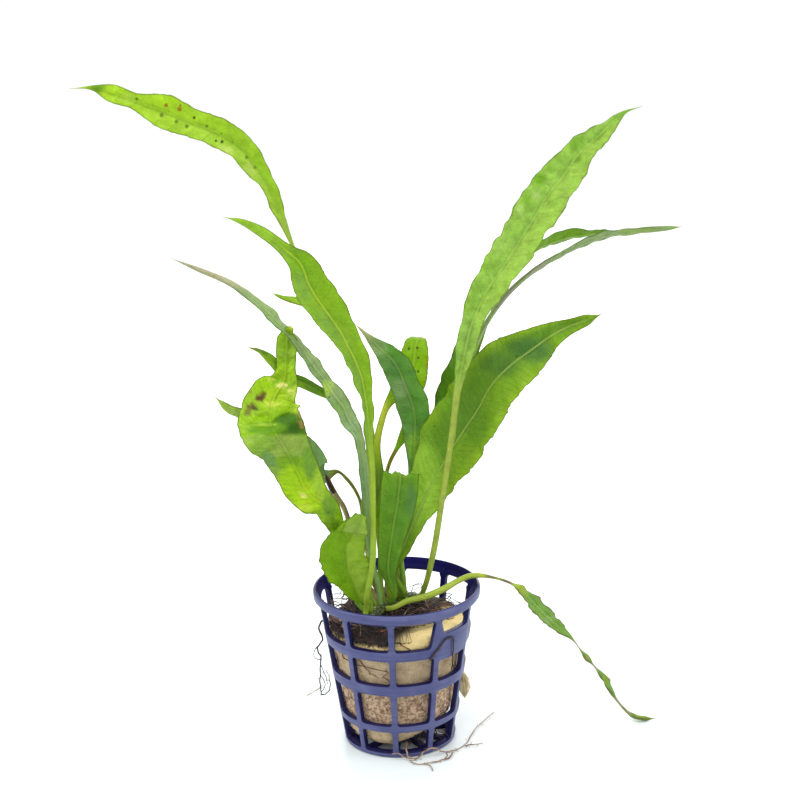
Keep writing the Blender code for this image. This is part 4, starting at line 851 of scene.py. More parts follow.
        "left": (126, 166, 108), "right": (138, 174, 122), "tip": (124, 184, 84), "tip_from": 0.88,
        "edge": (112, 156, 88), "stem": (134, 172, 104), "wave": 0.2, "rib": (160, 190, 140),
        "see_through": 0.2, "vein_share": 0.1, "balance": (1.08, 0.88, 0.95),
        "patches": (
            (45, 139.5, 8, 5, (160, 162, 144), 0.7), (36, 131, 7, 7, (140, 146, 132), 0.7),
            (74, 149.5, 9, 3, (150, 194, 84), 0.8)),
        "spots": tuple((52 + 3.1 * i, 144.6 + 0.8 * i, 0.32, (92, 128, 70)) for i in range(7))},
    "frond_dark_right": {
        "left": (112, 172, 16), "right": (108, 166, 12), "tip": (100, 156, 40), "stem": (110, 156, 80),
        "back": (108, 168, 12),
        "edge": (80, 146, 30), "wave": 0.2, "see_through": 0.22, "rib_share": 0.4},
    "frond_centre": {
        # The pale grey tip and the two pale blue-grey patches are painted sheen.
        "left": (84, 146, 76), "right": (80, 152, 50), "tip": (188, 204, 184), "tip_from": 0.78,
        "edge": (90, 154, 60), "edging": 0.35, "stem": (112, 168, 60), "gloss": 0.4, "see_through": 0.2,
        "rib_share": 0.15, "vein_share": 0.15, "wave": 0.3,
        "patches": (
            (2.5, 108.0, 3.4, 4.5, (116, 164, 128), 0.75), (1.2, 114.0, 3.4, 3.6, (64, 132, 56), 0.8),
            (-3.6, 121.0, 4, 3, (128, 174, 132), 0.7), (5.6, 99.4, 3.4, 4, (70, 142, 30), 0.8),
            (6.5, 89.9, 4, 6, (112, 176, 36), 0.8))},
    "frond_spotted": {
        "left": (126, 188, 14), "right": (130, 192, 12), "tip": (196, 210, 176), "tip_from": 0.93,
        "edge": (120, 150, 20), "edging": 0.3, "stem": (170, 200, 84), "tapers": False, "rib_share": 0.3,
        "vein_share": 0.1, "see_through": 0.45, "wave": 0.2, "quilt": 0.05,
        "patches": (
            (11.2, 111, 1.0, 6, (150, 120, 40), 0.8), (-4.6, 80, 3.0, 9, (112, 156, 84), 0.9),
            (-2.4, 99.0, 1.2, 5, (188, 214, 96), 0.5)),
        "spots": (
            (5.4, 117.4, 0.55, SORE), (7.9, 117.6, 0.5, SORE), (8.1, 114.9, 0.5, SORE),
            (8.0, 111.2, 0.5, SORE), (5.6, 108.6, 0.35, (80, 130, 20)))},
    "frond_young": {
        "left": (122, 184, 30), "right": (116, 178, 30), "stem": (128, 136, 60), "wave": 0.1,
        "rib_share": 0.3, "stalk": 0.7},
    "frond_hidden_right": {
        "left": (74, 134, 18), "right": (84, 146, 20), "stem": (130, 170, 60), "edge": (60, 96, 20)},
    "frond_trailing": {
        "left": (110, 166, 76), "right": (116, 168, 78), "tip": (130, 164, 34), "tip_from": 0.88,
        "edge": (126, 138, 96), "edging": 0.8, "stem": (164, 200, 84), "wave": 0.5, "wavelength": 6,
        "ragged": 0.16, "rib": (160, 198, 110), "rib_share": 0.3, "crinkle": 0.3, "vein_share": 0.1,
        "see_through": 0.25, "balance": (1.1, 0.9, 0.75), "rim_share": 0.7, "stalk_to": 0.5,
        "patches": (
            (29, 50, 3.2, 1.6, (118, 116, 88), 0.9), (33, 48, 3.2, 2, (118, 112, 92), 0.95),
            (25.4, 50.3, 1.2, 1.4, (176, 196, 80), 0.8), (37.4, 45.4, 1.5, 1.3, (150, 176, 50), 0.95),
            (41, 41, 2, 2, (104, 160, 76), 0.6), (46, 35, 2.2, 2, (140, 186, 120), 0.6),
            # The pale grey patches down the hanging part are painted highlights.
            (54.4, 26, 2.6, 3.2, (170, 172, 160), 0.95), (57.6, 21.6, 1.1, 1.3, (150, 160, 84), 0.9),
            (60.2, 18.6, 1.8, 2.4, (186, 190, 180), 0.95), (63.3, 14.0, 1.6, 2.2, (124, 166, 52), 0.9),
            (67.6, 6.4, 2.4, 3.2, (168, 172, 156), 0.95), (70.6, 3, 1.6, 1.4, (160, 166, 140), 0.9))},
}
DEAD_LOOK = {
    "left": (84, 60, 36), "right": (60, 42, 26), "tip": (48, 32, 22), "tip_from": 0.45, "edge": (120, 96, 60),
    "stem": (150, 136, 100), "stalk_to": 0.75, "mottle": 1.4, "balance": (1, 0.95, 0.85), "see_through": 0.05, "rib_share": 0.0, "vein_share": 0.0, "rim_share": 0.2,
    "crinkle": 0.7, "wave": 0.2, "ragged": 0.25, "gloss": 0.2, "back": (90, 66, 44)}
print("looks:", len(LOOKS))

# %% [markdown]
# ## Making the fronds
# Each frond is folded from its grid, painted and finished, and replaces its plain solid.

# %% The blades
SLOTS = {part["node"]: part["material_slot"] for part in frame["record"]["subparts"]}
for seed, (node, (springing, cup, stations)) in enumerate(FRONDS.items()):
    look = {**PLAIN, **MID, **LOOKS[node]}
    skin = frond_skin(springing, cup, stations, look, seed * 1.7, painter(look))
    blade = piece(node.replace("frond_", "") + "_blade", skin, leaf_finish(node, look), SLOTS[node], node)
    print(blade.name, len(blade.data.polygons), "faces")
springing, cup, stations = DEAD_STALK
look = {**PLAIN, **MID, **DEAD_LOOK}
skin = frond_skin(springing, cup, stations, look, 3.3, painter(look))
piece("withered_stalk", skin, leaf_finish("withered_stalk", look), SLOTS["dead_stalk"], "dead_stalk")

# %% [markdown]
# ## The slatted pot
# The pot is one moulding: a tapered wall of ribs and rings, a bulging band at the rim and a base with
# spokes. It could be cut from a solid cone, but cuts leave ragged shading on a curved wall. So the wall is
# laid out flat instead, as angle against distance along the profile. Each opening is a tile: a round loop
# bridged to a smaller one, pulled to a square border and a window with rounded corners. The tiles merge
# into one sheet, the sheet is rolled up, and a modifier gives it its thickness.

# %% The pot's dimensions, in mm
CELLS = 10
CELL = 2 * math.pi / CELLS
FIRST_RIB = math.radians(-4.6)
RIB_WIDTH = 1.5
BASE_RADIUS = 16.8
WALL_TOP = 45.4
WALL_TOP_RADIUS = 23.6
POT_WALL = 1.45
PROFILE = (
    (0, 0, 0), (16.2, 16.2, 0), (16.8, 16.8, 0.35), (62.2, 23.6, 45.4), (62.6, 24.6, 45.6), (63.0, 25.0, 46.1),
    (64.8, 25.1, 47.8), (65.3, 24.9, 48.3), (65.8, 24.3, 48.5))
WALL_ROWS = (
    (1.1, 8.5, 0, 9.5), (10.5, 21.1, 9.5, 22.7), (24.3, 32.8, 22.7, 34.3), (35.8, 44.7, 34.3, 45.8))
BASE_ROW = (6.2, 14.2, 4.0, 16.8)
PLATE_CELL = 1
PLATE_LOW, PLATE_HIGH = 31.4, 39.8
FLARE = 1.3
CORNER = 0.9
LOOP = 56


def wall_radius(height):
    return BASE_RADIUS + (WALL_TOP_RADIUS - BASE_RADIUS) * min(height, WALL_TOP) / WALL_TOP


def around(angle, radius, height):
    """A point in metres at an angle round from the front of the pot, from sizes in mm."""
    return Vector((radius * math.sin(angle), -radius * math.cos(angle), height)) * MM


def rolled(angle, path):
    """Where a point of the flat layout lies once the sheet is rolled up."""
    paths, radii, heights = zip(*PROFILE)
    return around(angle, float(np.interp(path, paths, radii)), float(np.interp(path, paths, heights)))


def square_spot(angle):
    """A point of a square's border for an angle round a circle, closer together towards the corners."""
    eighth = ((angle + math.pi / 4) % (math.pi / 2) - math.pi / 4) / (math.pi / 4)
    spread = math.copysign(math.sin(abs(eighth) * math.pi / 2), eighth)
    side = round(((angle - eighth * math.pi / 4) % (2 * math.pi)) / (math.pi / 2)) % 4
    return ((1, spread), (-spread, 1), (-1, -spread), (spread, -1))[side]


def rounded(x, y, half_x, half_y, corner):
    """Moves a point of a rectangle's border onto the border with rounded corners."""
    inner_x, inner_y = half_x - corner, half_y - corner
    if abs(x) <= inner_x or abs(y) <= inner_y:
        return x, y
    over_x, over_y = abs(x) - inner_x, abs(y) - inner_y
    pull = corner / math.hypot(over_x, over_y)
    return math.copysign(inner_x + over_x * pull, x), math.copysign(inner_y + over_y * pull, y)


def tile(bm, cell, window, border, radius_at, flares=(0, 0)):
    """One opening of the flat sheet: its window between two paths, in a border between two others."""
    low, high = window
    middle_angle = FIRST_RIB + (cell + 0.5) * CELL
    outer = bmesh.ops.create_circle(bm, segments=LOOP, radius=1)["verts"]
    inner = bmesh.ops.create_circle(bm, segments=LOOP, radius=0.5)["verts"]
    loops = {edge for vert in outer + inner for edge in vert.link_edges}
    bmesh.ops.bridge_loops(bm, edges=list(loops))
    for vert in outer + inner:
        is_window = vert.co.length < 0.75
        x, y = square_spot(math.atan2(vert.co.y, vert.co.x))
        if is_window:
            half_y = (high - low) / 2
            path = (low + high) / 2 + y * half_y
            radius = radius_at(path)
            half_x = radius * math.sin(CELL / 2) - RIB_WIDTH / 2
            bottom_share = (1 - y) / 2
            flat_x, flat_y = rounded(x * half_x, y * half_y, half_x, half_y, CORNER)
            flat_x += (flares[0] if x < 0 else -flares[1]) * bottom_share * abs(x)
            vert.co = Vector((middle_angle + flat_x / radius, (low + high) / 2 + flat_y, 0))
        else:
            path = border[0] + (y + 1) / 2 * (border[1] - border[0])
            vert.co = Vector((middle_angle + x * CELL / 2, path, 0))


print("pot: wall", POT_WALL, "mm,", CELLS * (len(WALL_ROWS) + 1), "openings")

# %% [markdown]
# The plastic is a dark navy blue, moulded smooth. Outside it is painted a lighter grey-blue, a painted
# reflection of the pale room that its smooth skin mirrors. The sides of the ribs get painted shade, and
# faces that look inwards, where little light comes, are painted nearly black as painted shade. Fine flow
# lines run round it, and handling has dulled it in patches.


# %% The plastic
def pot_plastic():
    bench = Bench("pot_plastic", 0.34)
    radial = bench.vector("NORMALIZE", bench.vector("MULTIPLY", bench.place, (1, 1, 0)), (0, 0, 0))
    facing = bench.vector("DOT_PRODUCT", bench.add("ShaderNodeNewGeometry", output="Normal"), radial, "Value")
    inside = bench.rise(facing, 0.15, -0.35)
    patches = bench.cloud(90, 4)
    flow = bench.add("ShaderNodeTexNoise", None, {
        "Vector": bench.vector("MULTIPLY", bench.place, (60, 60, 900)), "Scale": 1.0, "Detail": 2.0})
    # The lighter grey-blue of the outside is partly a painted reflection of the pale room.
    tone = bench.blend(dye(70, 74, 116), dye(86, 90, 130), bench.rise(patches, 0.35, 0.7))
    tone = bench.blend(tone, dye(60, 64, 108), bench.rise(flow, 0.45, 0.65) * 0.6)
    # Painted shade: faces that turn away from outwards, such as the sides of the ribs, are darker navy.
    tone = bench.blend(tone, dye(16, 12, 62), bench.rise(facing, 0.72, 0.42) * 0.9)
    # Painted shade: faces that look inwards are nearly black.
    tone = bench.blend(tone, dye(8, 2, 78), inside)
    bench.colour(tone)
    bench.rough(0.28 + patches * 0.14 + inside * 0.5)
    bench.shader.inputs["Specular IOR Level"].default_value = 0.22
    bench.relief(flow * 0.5 + bench.cloud(1500, 2) * 0.5, 0.00003)
    return bench.material


bm = bmesh.new()
for cell in range(CELLS):
    tile(bm, cell, BASE_ROW[:2], BASE_ROW[2:], lambda path: path)
    for row, (low, high, under, over) in enumerate(WALL_ROWS):
        flares = [0, 0]
        if row == 3 and cell == PLATE_CELL:
            low, flares[0] = PLATE_HIGH, FLARE
        if row == 3 and cell == PLATE_CELL - 1:
            flares[1] = FLARE
        if row == 2 and cell == PLATE_CELL:
            high = PLATE_LOW
        to_path = BASE_RADIUS
        tile(
            bm, cell, (low + to_path, high + to_path), (under + to_path, over + to_path),
            lambda path: wall_radius(path - BASE_RADIUS), flares)
brim = [edge for edge in bm.edges if edge.is_boundary and all(abs(v.co.y - 62.6) < 0.01 for v in edge.verts)]
for path, _, _ in PROFILE[5:]:
    lifted = bmesh.ops.extrude_edge_only(bm, edges=brim)["geom"]
    brim = [part for part in lifted if isinstance(part, bmesh.types.BMEdge)]
    for vert in {end for edge in brim for end in edge.verts}:
        vert.co.y = path
for vert in bm.verts:
    vert.co = rolled(vert.co.x, vert.co.y)
bmesh.ops.remove_doubles(bm, verts=bm.verts, dist=0.00002)
hub = [edge for edge in bm.edges if edge.is_boundary and all(v.co.length < 4.5 * MM for v in edge.verts)]
bmesh.ops.holes_fill(bm, edges=hub, sides=0)
bmesh.ops.recalc_face_normals(bm, faces=bm.faces)
lowest = min(bm.faces, key=lambda pot_face: pot_face.calc_center_median().length)
if lowest.normal.z > 0:
    bmesh.ops.reverse_faces(bm, faces=bm.faces)
for pot_face in bm.faces:
    pot_face.smooth = True
pot = piece("slatted_pot", bm, pot_plastic(), "pot_plastic", "net_pot")
walls = pot.modifiers.new("wall", "SOLIDIFY")
walls.thickness = POT_WALL * MM
walls.offset = -1
walls.use_even_offset = True
softened = pot.modifiers.new("moulded_edges", "BEVEL")
softened.width = 0.22 * MM
softened.segments = 2
softened.limit_method = "ANGLE"
softened.angle_limit = math.radians(50)
softened.harden_normals = False
print("pot sheet:", len(pot.data.polygons), "faces")

# %% [markdown]
# ## The rock wool
# Rock wool is spun stone, pressed into a plug. It is lumpy, tan and full of short pale fibres, with darker
# grains and damp patches. The plug is a cone with many rings whose skin is pushed in and out by noise, and
# some hundreds of fine fibres lie on it.

# %% The plug's shape
random.seed(11)
WOOL_LOW, WOOL_TOP = 3.2, 38.4
WOOL_GAP = 0.35
WOOL_RISE = 4.4


def wool_skin(angle, share, spread=1.0):
    """A point of the plug's skin in mm: an angle round it, a share of its height and of its radius."""
    height = WOOL_LOW + share * (WOOL_TOP - WOOL_LOW)
    radius = wall_radius(height) - 1.6 - WOOL_GAP
    radius -= 1.3 * (1 - step_up(share, 0, 0.06)) + 1.3 * step_up(share, 0.95, 1)
    where = Vector((math.sin(angle) * 4, math.cos(angle) * 4, share * 7))
    radius += 0.55 * noise.noise(where) + 0.4 * noise.noise(where * 3.1) + 0.22 * noise.noise(where * 8)
    lift = (1 - share) * WOOL_RISE * max(0, math.sin(angle) * spread + 0.2)
    return radius * spread, height + lift


def rock_wool():
    bench = Bench("rock_wool", 0.95)
    x, y, z = bench.parts(bench.place)
    height = z * 1000
    grains = bench.cloud(900, 5, rough=0.7)
    lumps = bench.cloud(210, 4)
    damp = bench.cloud(95, 3)
    fibres = bench.add("ShaderNodeTexNoise", None, {
        "Vector": bench.vector("MULTIPLY", bench.place, (900, 900, 2600)), "Scale": 1.0, "Detail": 3.0})
    tone = bench.blend(dye(168, 150, 126), dye(200, 180, 148), bench.rise(lumps, 0.3, 0.7))
    low_tone = bench.blend(dye(128, 98, 80), dye(216, 190, 164), bench.rise(grains, 0.36, 0.62))
    tone = bench.blend(low_tone, tone, bench.rise(height, 20.5, 25.0))
    tone = bench.blend(tone, dye(252, 232, 168), bench.rise(height, 31.0, 35.5))
    tone = bench.blend(tone, dye(204, 186, 150), bench.rise(height, 11.0, 8.0) * 0.8)
    tone = bench.blend(tone, dye(120, 90, 60), bench.rise(damp, 0.60, 0.78) * 0.55)
    tone = bench.blend(tone, dye(96, 70, 50), bench.rise(grains, 0.40, 0.30) * 0.55)
    tone = bench.blend(tone, dye(238, 228, 204), bench.rise(fibres, 0.60, 0.72) * 0.5)
    # Darker near the top of the plug at the left front and along the top at the back.
    dark_top_band = bench.rise(height, 36.4, 37.8) * bench.rise(x * 1000 - y * 500, 12.0, 7.0)
    dark_top_band = bench.maths("MAXIMUM", dark_top_band, bench.rise(height, 37.2, 38.2) * bench.rise(y, 0.004, 0.008))
    tone = bench.blend(tone, dye(30, 20, 24), dark_top_band * 0.94)
    rusty = bench.rise(bench.vector("DISTANCE", bench.place, (0.0158, -0.0137, 0.0285), "Value"), 0.0042, 0.001)
    tone = bench.blend(tone, dye(110, 60, 44), rusty * bench.rise(lumps, 0.3, 0.6) * 0.8)
    tone = bench.vector("MULTIPLY", tone, (0.78, 0.74, 0.68))
    bench.colour(tone)
    bench.relief(grains * 0.6 + fibres * 0.5, 0.0007)
    return bench.material


wool = rock_wool()
bm = bmesh.new()
bmesh.ops.create_cone(bm, cap_ends=True, cap_tris=False, segments=120, radius1=1, radius2=1, depth=1)
uprights = [edge for edge in bm.edges if abs(edge.verts[0].co.z - edge.verts[1].co.z) > 0.5]
bmesh.ops.subdivide_edges(bm, edges=uprights, cuts=54, use_grid_fill=False)
for _ in range(5):
    caps = [cap for cap in bm.faces if len(cap.verts) > 4]
    bmesh.ops.inset_region(bm, faces=caps, thickness=0.17)
for vert in bm.verts:
    spread = min(1, math.hypot(vert.co.x, vert.co.y))
    angle = math.atan2(vert.co.x, -vert.co.y)
    radius, height = wool_skin(angle, vert.co.z + 0.5, spread)
    if spread < 0.97:
        height += 0.7 * noise.noise(Vector((vert.co.x * 5, vert.co.y * 5, vert.co.z)))
    vert.co = around(angle, radius, height)
outwards(bm)
for wool_face in bm.faces:
    wool_face.smooth = True
piece("wool_plug_body", bm, wool, "rock_wool", "wool_plug")
print("wool skin from", WOOL_LOW, "to", WOOL_TOP, "mm")

# %% [markdown]
# Single fibres stand out from the plug as pale hairs, and brown flecks of old root lie between them.


# %% Fibres on the wool
def skin_line(angle, share, heading, length, points, lift, sway=0.5):
    """A line that runs over the plug's skin: its places in metres, a little proud of the skin."""
    line = []
    phase = random.uniform(0, 9)
    for index in range(points):
        part = index / (points - 1)
        swing = heading + sway * math.sin(part * 4 + phase)
        radius, height = wool_skin(angle, min(max(share, 0.01), 0.99))
        line.append(around(angle, radius + lift * math.sin(math.pi * part) + 0.05, height))
        angle += math.cos(swing) * length / points / radius
        share += math.sin(swing) * length / points / (WOOL_TOP - WOOL_LOW)
    return line


def plain_fibre(name, low, high, roughness=0.9):
    bench = Bench(name, roughness)
    bench.colour(bench.blend(dye(*low), dye(*high), bench.rise(bench.cloud(420, 2), 0.35, 0.65)))
    return bench.material


pale_fibre = plain_fibre("pale_wool_fibre", (190, 172, 128), (228, 216, 176))
brown_fibre = plain_fibre("brown_fleck", (92, 60, 40), (150, 108, 74))
hairs = []
for _ in range(420):
    line = skin_line(
        random.uniform(-math.pi, math.pi), random.uniform(0.03, 0.97), random.uniform(0, math.pi),
        random.uniform(1, 4), 6, random.uniform(0.1, 0.5))
    hairs.append([(place, random.uniform(0.02, 0.035) * MM) for place in line])
strands("wool_fibres", hairs, pale_fibre, "rock_wool", sides=0)
flecks = []
for _ in range(150):
    line = skin_line(
        random.uniform(-math.pi, math.pi), random.uniform(0.05, 0.97), random.uniform(0, math.pi),
        random.uniform(0.8, 3.2), 5, 0.15)
    flecks.append([(place, random.uniform(0.04, 0.10) * MM) for place in line])
strands("wool_flecks", flecks, brown_fibre, "rock_wool", sides=0)
tuft_middle = around(math.radians(86), 19.6, 16.3)
tuft = []
for _ in range(150):
    turn_about = random.uniform(0, 2 * math.pi)
    reach = random.uniform(3.0, 4.8)
    middle_off = Vector([random.gauss(0, 0.35) for _ in range(3)])
    line = []
    for index in range(8):
        part = index / 7 * 2 - 1
        swell = (1.0 - part * part) * random.uniform(1.1, 1.7)
        out = Vector((swell * math.cos(turn_about) - 0.4 * part, swell * math.sin(turn_about), part * reach))
        line.append((tuft_middle + (out + middle_off * (1 - part * part)) * MM, 0.06 * MM))
    tuft.append(line)
strands("wool_tuft_fibres", tuft, pale_fibre, "rock_wool", "wool_tuft", sides=0)
print("fibres:", len(hairs), "flecks:", len(flecks), "tuft:", len(tuft))

# %% [markdown]
# ## Hair roots
# A java fern's roots are wiry, dark brown and matted. On top of the wool they make a tangle round the
# rhizome, and on the left they hang down behind the windows. A lumpy bed fills the tangle, and the single
# roots are tubes that wander over it.

# %% The tangle on top
MAT_CENTRE = Vector((-3.2, -1.5))


def shy_side(angle):
    """How much the tangle draws back at an angle: it leaves the wool bare at the front right."""
    return step_up(math.cos(angle + 0.95), 0.35, 0.85)


def hair_root(name, low, high):
    bench = Bench(name, 0.62)
    streak = bench.cloud(500, 3)
    bench.colour(bench.blend(dye(*low), dye(*high), bench.rise(streak, 0.35, 0.68)))
    bench.relief(bench.cloud(2600, 2), 0.00008)
    return bench.material


dark_root = hair_root("dark_root", (18, 11, 13), (60, 38, 32))
red_root = hair_root("red_root", (84, 42, 34), (140, 84, 66))
pale_root = hair_root("pale_root", (104, 80, 62), (170, 142, 114))
bm = bmesh.new()
bmesh.ops.create_cone(bm, cap_ends=True, cap_tris=False, segments=90, radius1=1, radius2=1, depth=1)
for _ in range(7):
    caps = [cap for cap in bm.faces if len(cap.verts) > 4]
    bmesh.ops.inset_region(bm, faces=caps, thickness=0.13)
for vert in bm.verts:
    spread = math.hypot(vert.co.x, vert.co.y)
    angle = math.atan2(vert.co.y, vert.co.x)
    reach = 13.3 + math.sin(5 * angle) + 0.5 * math.sin(9 * angle) - 1.5 * math.cos(angle)
    reach += 0.8 * noise.noise(Vector((math.cos(angle) * 4, math.sin(angle) * 4, 3)))
    reach += 4.2 * step_up(math.sin(angle), 0.2, 0.9) - 6.5 * shy_side(angle)
    across = MAT_CENTRE.x + math.cos(angle) * spread * reach
    back = MAT_CENTRE.y + math.sin(angle) * spread * reach
    if vert.co.z > 0:
        height = 38.9 + (1 - spread ** 3) * (1.6 + 1.3 * noise.noise(Vector((across * 0.5, back * 0.5, 8))))
        height += 0.5 * noise.noise(Vector((across * 1.7, back * 1.7, 2)))
        height += 2.6 * step_up(back, 4, 12) * (1 - step_up(spread, 0.85, 1))
    else:
        height = 38.0
    vert.co = Vector((across, back, height)) * MM
outwards(bm)
for bed_face in bm.faces:
    bed_face.smooth = True
piece("root_bed", bm, dark_root, "roots", "root_mat")


def tangle_root(reach_from, reach_to, points, lift):
    """A root that wanders over the bed, inside the pot."""
    angle = random.uniform(-math.pi, math.pi)
    reach = random.uniform(reach_from, reach_to)
    heading = random.uniform(-math.pi, math.pi)
    place = Vector((MAT_CENTRE.x + math.cos(angle) * reach, MAT_CENTRE.y + math.sin(angle) * reach, 0))
    step = random.uniform(0.8, 1.6)
    height = random.uniform(39.4, 40.6) + 2.0 * step_up(place.y, 3, 12)
    phase = random.uniform(0, 7)
    line = []
    for index in range(points):
        part = index / (points - 1)
        heading += random.uniform(-0.35, 0.35)
        place += Vector((math.cos(heading), math.sin(heading), 0)) * step
        flat = math.hypot(place.x, place.y)
        limit = 20.6 - 6.5 * shy_side(math.atan2(place.y, place.x))
        if flat > limit:
            place *= limit / flat
            heading += 0.9
        arch = lift * math.sin(math.pi * part) ** 2 + 0.4 * math.sin(part * 9 + phase)
        line.append(Vector((place.x, place.y, height + arch)) * MM)
    return line


mat_roots = []
for _ in range(210):
    line = tangle_root(1, 13, 12, random.uniform(0.2, 2.2))
    thick = random.uniform(0.08, 0.24) * MM
    mat_roots.append([(place, thick * (1 - 0.5 * i / 11)) for i, place in enumerate(line)])
for _ in range(26):
    line = tangle_root(9, 15, 14, random.uniform(2.0, 5.0))
    mat_roots.append([(place, random.uniform(0.07, 0.12) * MM) for place in line])
strands("root_tangle", mat_roots, dark_root, "roots")
light_roots = []
for _ in range(34):
    line = tangle_root(3, 17, 12, random.uniform(0.5, 2.6))
    light_roots.append([(place, random.uniform(0.08, 0.16) * MM) for place in line])
strands("root_tangle_pale", light_roots, pale_root, "pale_roots")
red_roots = []
for _ in range(16):
    line = tangle_root(6, 14, 12, random.uniform(0.5, 2.0))
    red_roots.append([(place, random.uniform(0.16, 0.28) * MM) for place in line])
strands("root_tangle_red", red_roots, red_root, "roots")
print("roots on top:", len(mat_roots) + len(light_roots) + len(red_roots))

# %% [markdown]
# The beard of roots hangs between the wool and the pot at the left front. Most of it ends within the top
# row of windows, and a few long reddish roots run on across the wool below.


# %% The beard
def over_wool(points, thick, wander=0.25, start_lift=0.25, count=16):
    """A root along given places on the plug: degrees round from the front and height in mm."""
    route = smooth_route([(math.radians(a), h, 0) for a, h in points], count)
    line = []
    for index, (angle, height, _) in enumerate(route):
        share = (height - WOOL_LOW) / (WOOL_TOP - WOOL_LOW)
        radius = wool_skin(angle, min(max(share, 0.01), 0.94))[0]
        radius += start_lift + 0.12 * math.sin(index * 1.7)
        angle += wander * noise.noise(Vector((index * 0.8, height, angle))) / radius
        line.append((around(angle, radius, height), thick * MM * (1 - 0.45 * index / count)))
    return line


def fringe(angle_low, angle_high, count, fall_low, fall_high, thick_high):
    """Hairs that come out of the tangle, bend over the plug's edge and hang down beside it."""
    hairs = []
    for _ in range(count):
        angle = random.uniform(angle_low, angle_high)
        fall = random.uniform(fall_low, fall_high) * random.uniform(0.6, 1)
        slant = random.gauss(0, 3.2)
        lift = random.uniform(0.05, 0.55)
        start = around(math.radians(angle - slant), random.uniform(12.5, 16), random.uniform(39.2, 41.4))
        hair = [(start, 0.07 * MM)]
        bend = angle + slant / 2 + random.gauss(0, 1.6)
        points = [(angle, 38.6), (bend, 38.4 - fall * 0.5), (angle + slant, 38.4 - fall)]
        thick = random.uniform(0.05, thick_high)
        hair += over_wool(points, thick, 0.7, lift, 9)
        hairs.append(hair)
    return hairs


beard = fringe(-80, -44, 120, 0.6, 3.2, 0.12) + fringe(-44, -8, 150, 0.2, 2.3, 0.11)
beard += fringe(-32, -10, 16, 1.6, 3.8, 0.07) + fringe(-8, 12, 14, 0.1, 0.5, 0.08)
strands("root_beard_hairs", beard, dark_root, "roots", "root_beard")
long_roots = [
    over_wool([(-58, 31.2), (-46, 29.6), (-34, 29.8), (-24, 29.6), (-14, 27.0), (-6, 24.8)], 0.17),
    over_wool([(-40, 33.2), (-34, 31.4), (-27, 28.2), (-18, 26.4)], 0.14),
    over_wool([(2, 38.0), (9, 36.4), (14, 34.6), (17, 33.0)], 0.2),
    over_wool([(40, 44.6), (46, 43.0), (54, 42.4)], 0.24),
    over_wool([(-64, 25), (-58, 20), (-60, 15.5)], 0.12),
    over_wool([(12, 19), (20, 16), (26, 14)], 0.1)]
strands("roots_on_wool", long_roots, red_root, "roots")
# Partly painted shade: dark roots hang under the plug as root ends, and their thick mass also fills the shade in the
# pot's base.
under_plug = []
for _ in range(90):
    angle = random.uniform(math.radians(-20), math.radians(75))
    reach = random.uniform(3, 13)
    place = around(angle, reach, 0) / MM
    height = random.uniform(5.5, 7.5)
    line = []
    for index in range(8):
        line.append((Vector((place.x, place.y, max(height, 1.5))) * MM, 0.13 * MM))
        place += Vector((random.gauss(0, 0.7), random.gauss(0, 0.7), 0))
        height -= random.uniform(0.2, 1.0)
    under_plug.append(line)
strands("roots_under_plug", under_plug, dark_root, "roots")
print("beard:", len(beard), "hairs")

# %% [markdown]
# ## Single roots
# Some roots grow out through the windows, hang beside the pot, or lie on the table. They follow the same
# routes as their solids, with a little more wander, and they carry fine side hairs.

# %% Roots outside the pot
LONE_ROOTS = {
    "root_left": (dark_root, "roots", 0.32, (
        (-20.6, -1.4, 37.5), (-22.6, -1.6, 38.2), (-23.6, -2, 36), (-22.6, -2.4, 32.6), (-24.3, -2.6, 29.8),
        (-23.4, -2.8, 27), (-23.7, -3, 22.8), (-23.8, -3, 17.5), (-23.6, -3, 14.6))),
    "root_left_branch": (pale_root, "roots", 0.18, ((-23.7, -3.1, 17.2), (-26.4, -3.4, 15.6), (-28.3, -3.6, 14.7))),
    "root_left_hook": (dark_root, "roots", 0.2, (
        (-23.6, -3, 14.6), (-22.8, -3.2, 14.8), (-20.9, -3.4, 17), (-20.9, -3.4, 20), (-21.8, -3.2, 22.8))),
    "root_table": (pale_root, "pale_roots", 0.26, (
        (1.9, -13.6, 3.6), (1.7, -17, 3.3), (2.2, -18.8, 1.6), (4.9, -18.2, 0.6), (7.4, -16.8, 2.2),
        (9.5, -16.6, 3), (11.3, -15.8, 2), (12.8, -14.6, 0.6), (15.9, -13.6, 0.5), (19.2, -10.4, 0.5),
        (21.6, -3.6, 0.5), (23.4, 1, 0.5), (29.5, 11.8, 0.5))),
    "root_table_side": (pale_root, "pale_roots", 0.2, ((19.4, -10.6, 0.5), (22.4, -10, 0.5), (24.9, -9.3, 0.5))),
    "root_table_front": (pale_root, "pale_roots", 0.24, (
        (15.6, -13.9, 0.5), (14.6, -18, 0.5), (12.2, -19.4, 0.5), (8, -21.3, 0.5), (4.2, -21.1, 0.5),
        (2.6, -19.3, 0.5))),
}
BENT_ROOT = ((24.5, 32.6), (30, 35), (38.5, 38.3), (43.5, 38.4), (46.5, 34), (47.5, 29), (47.5, 26.8))


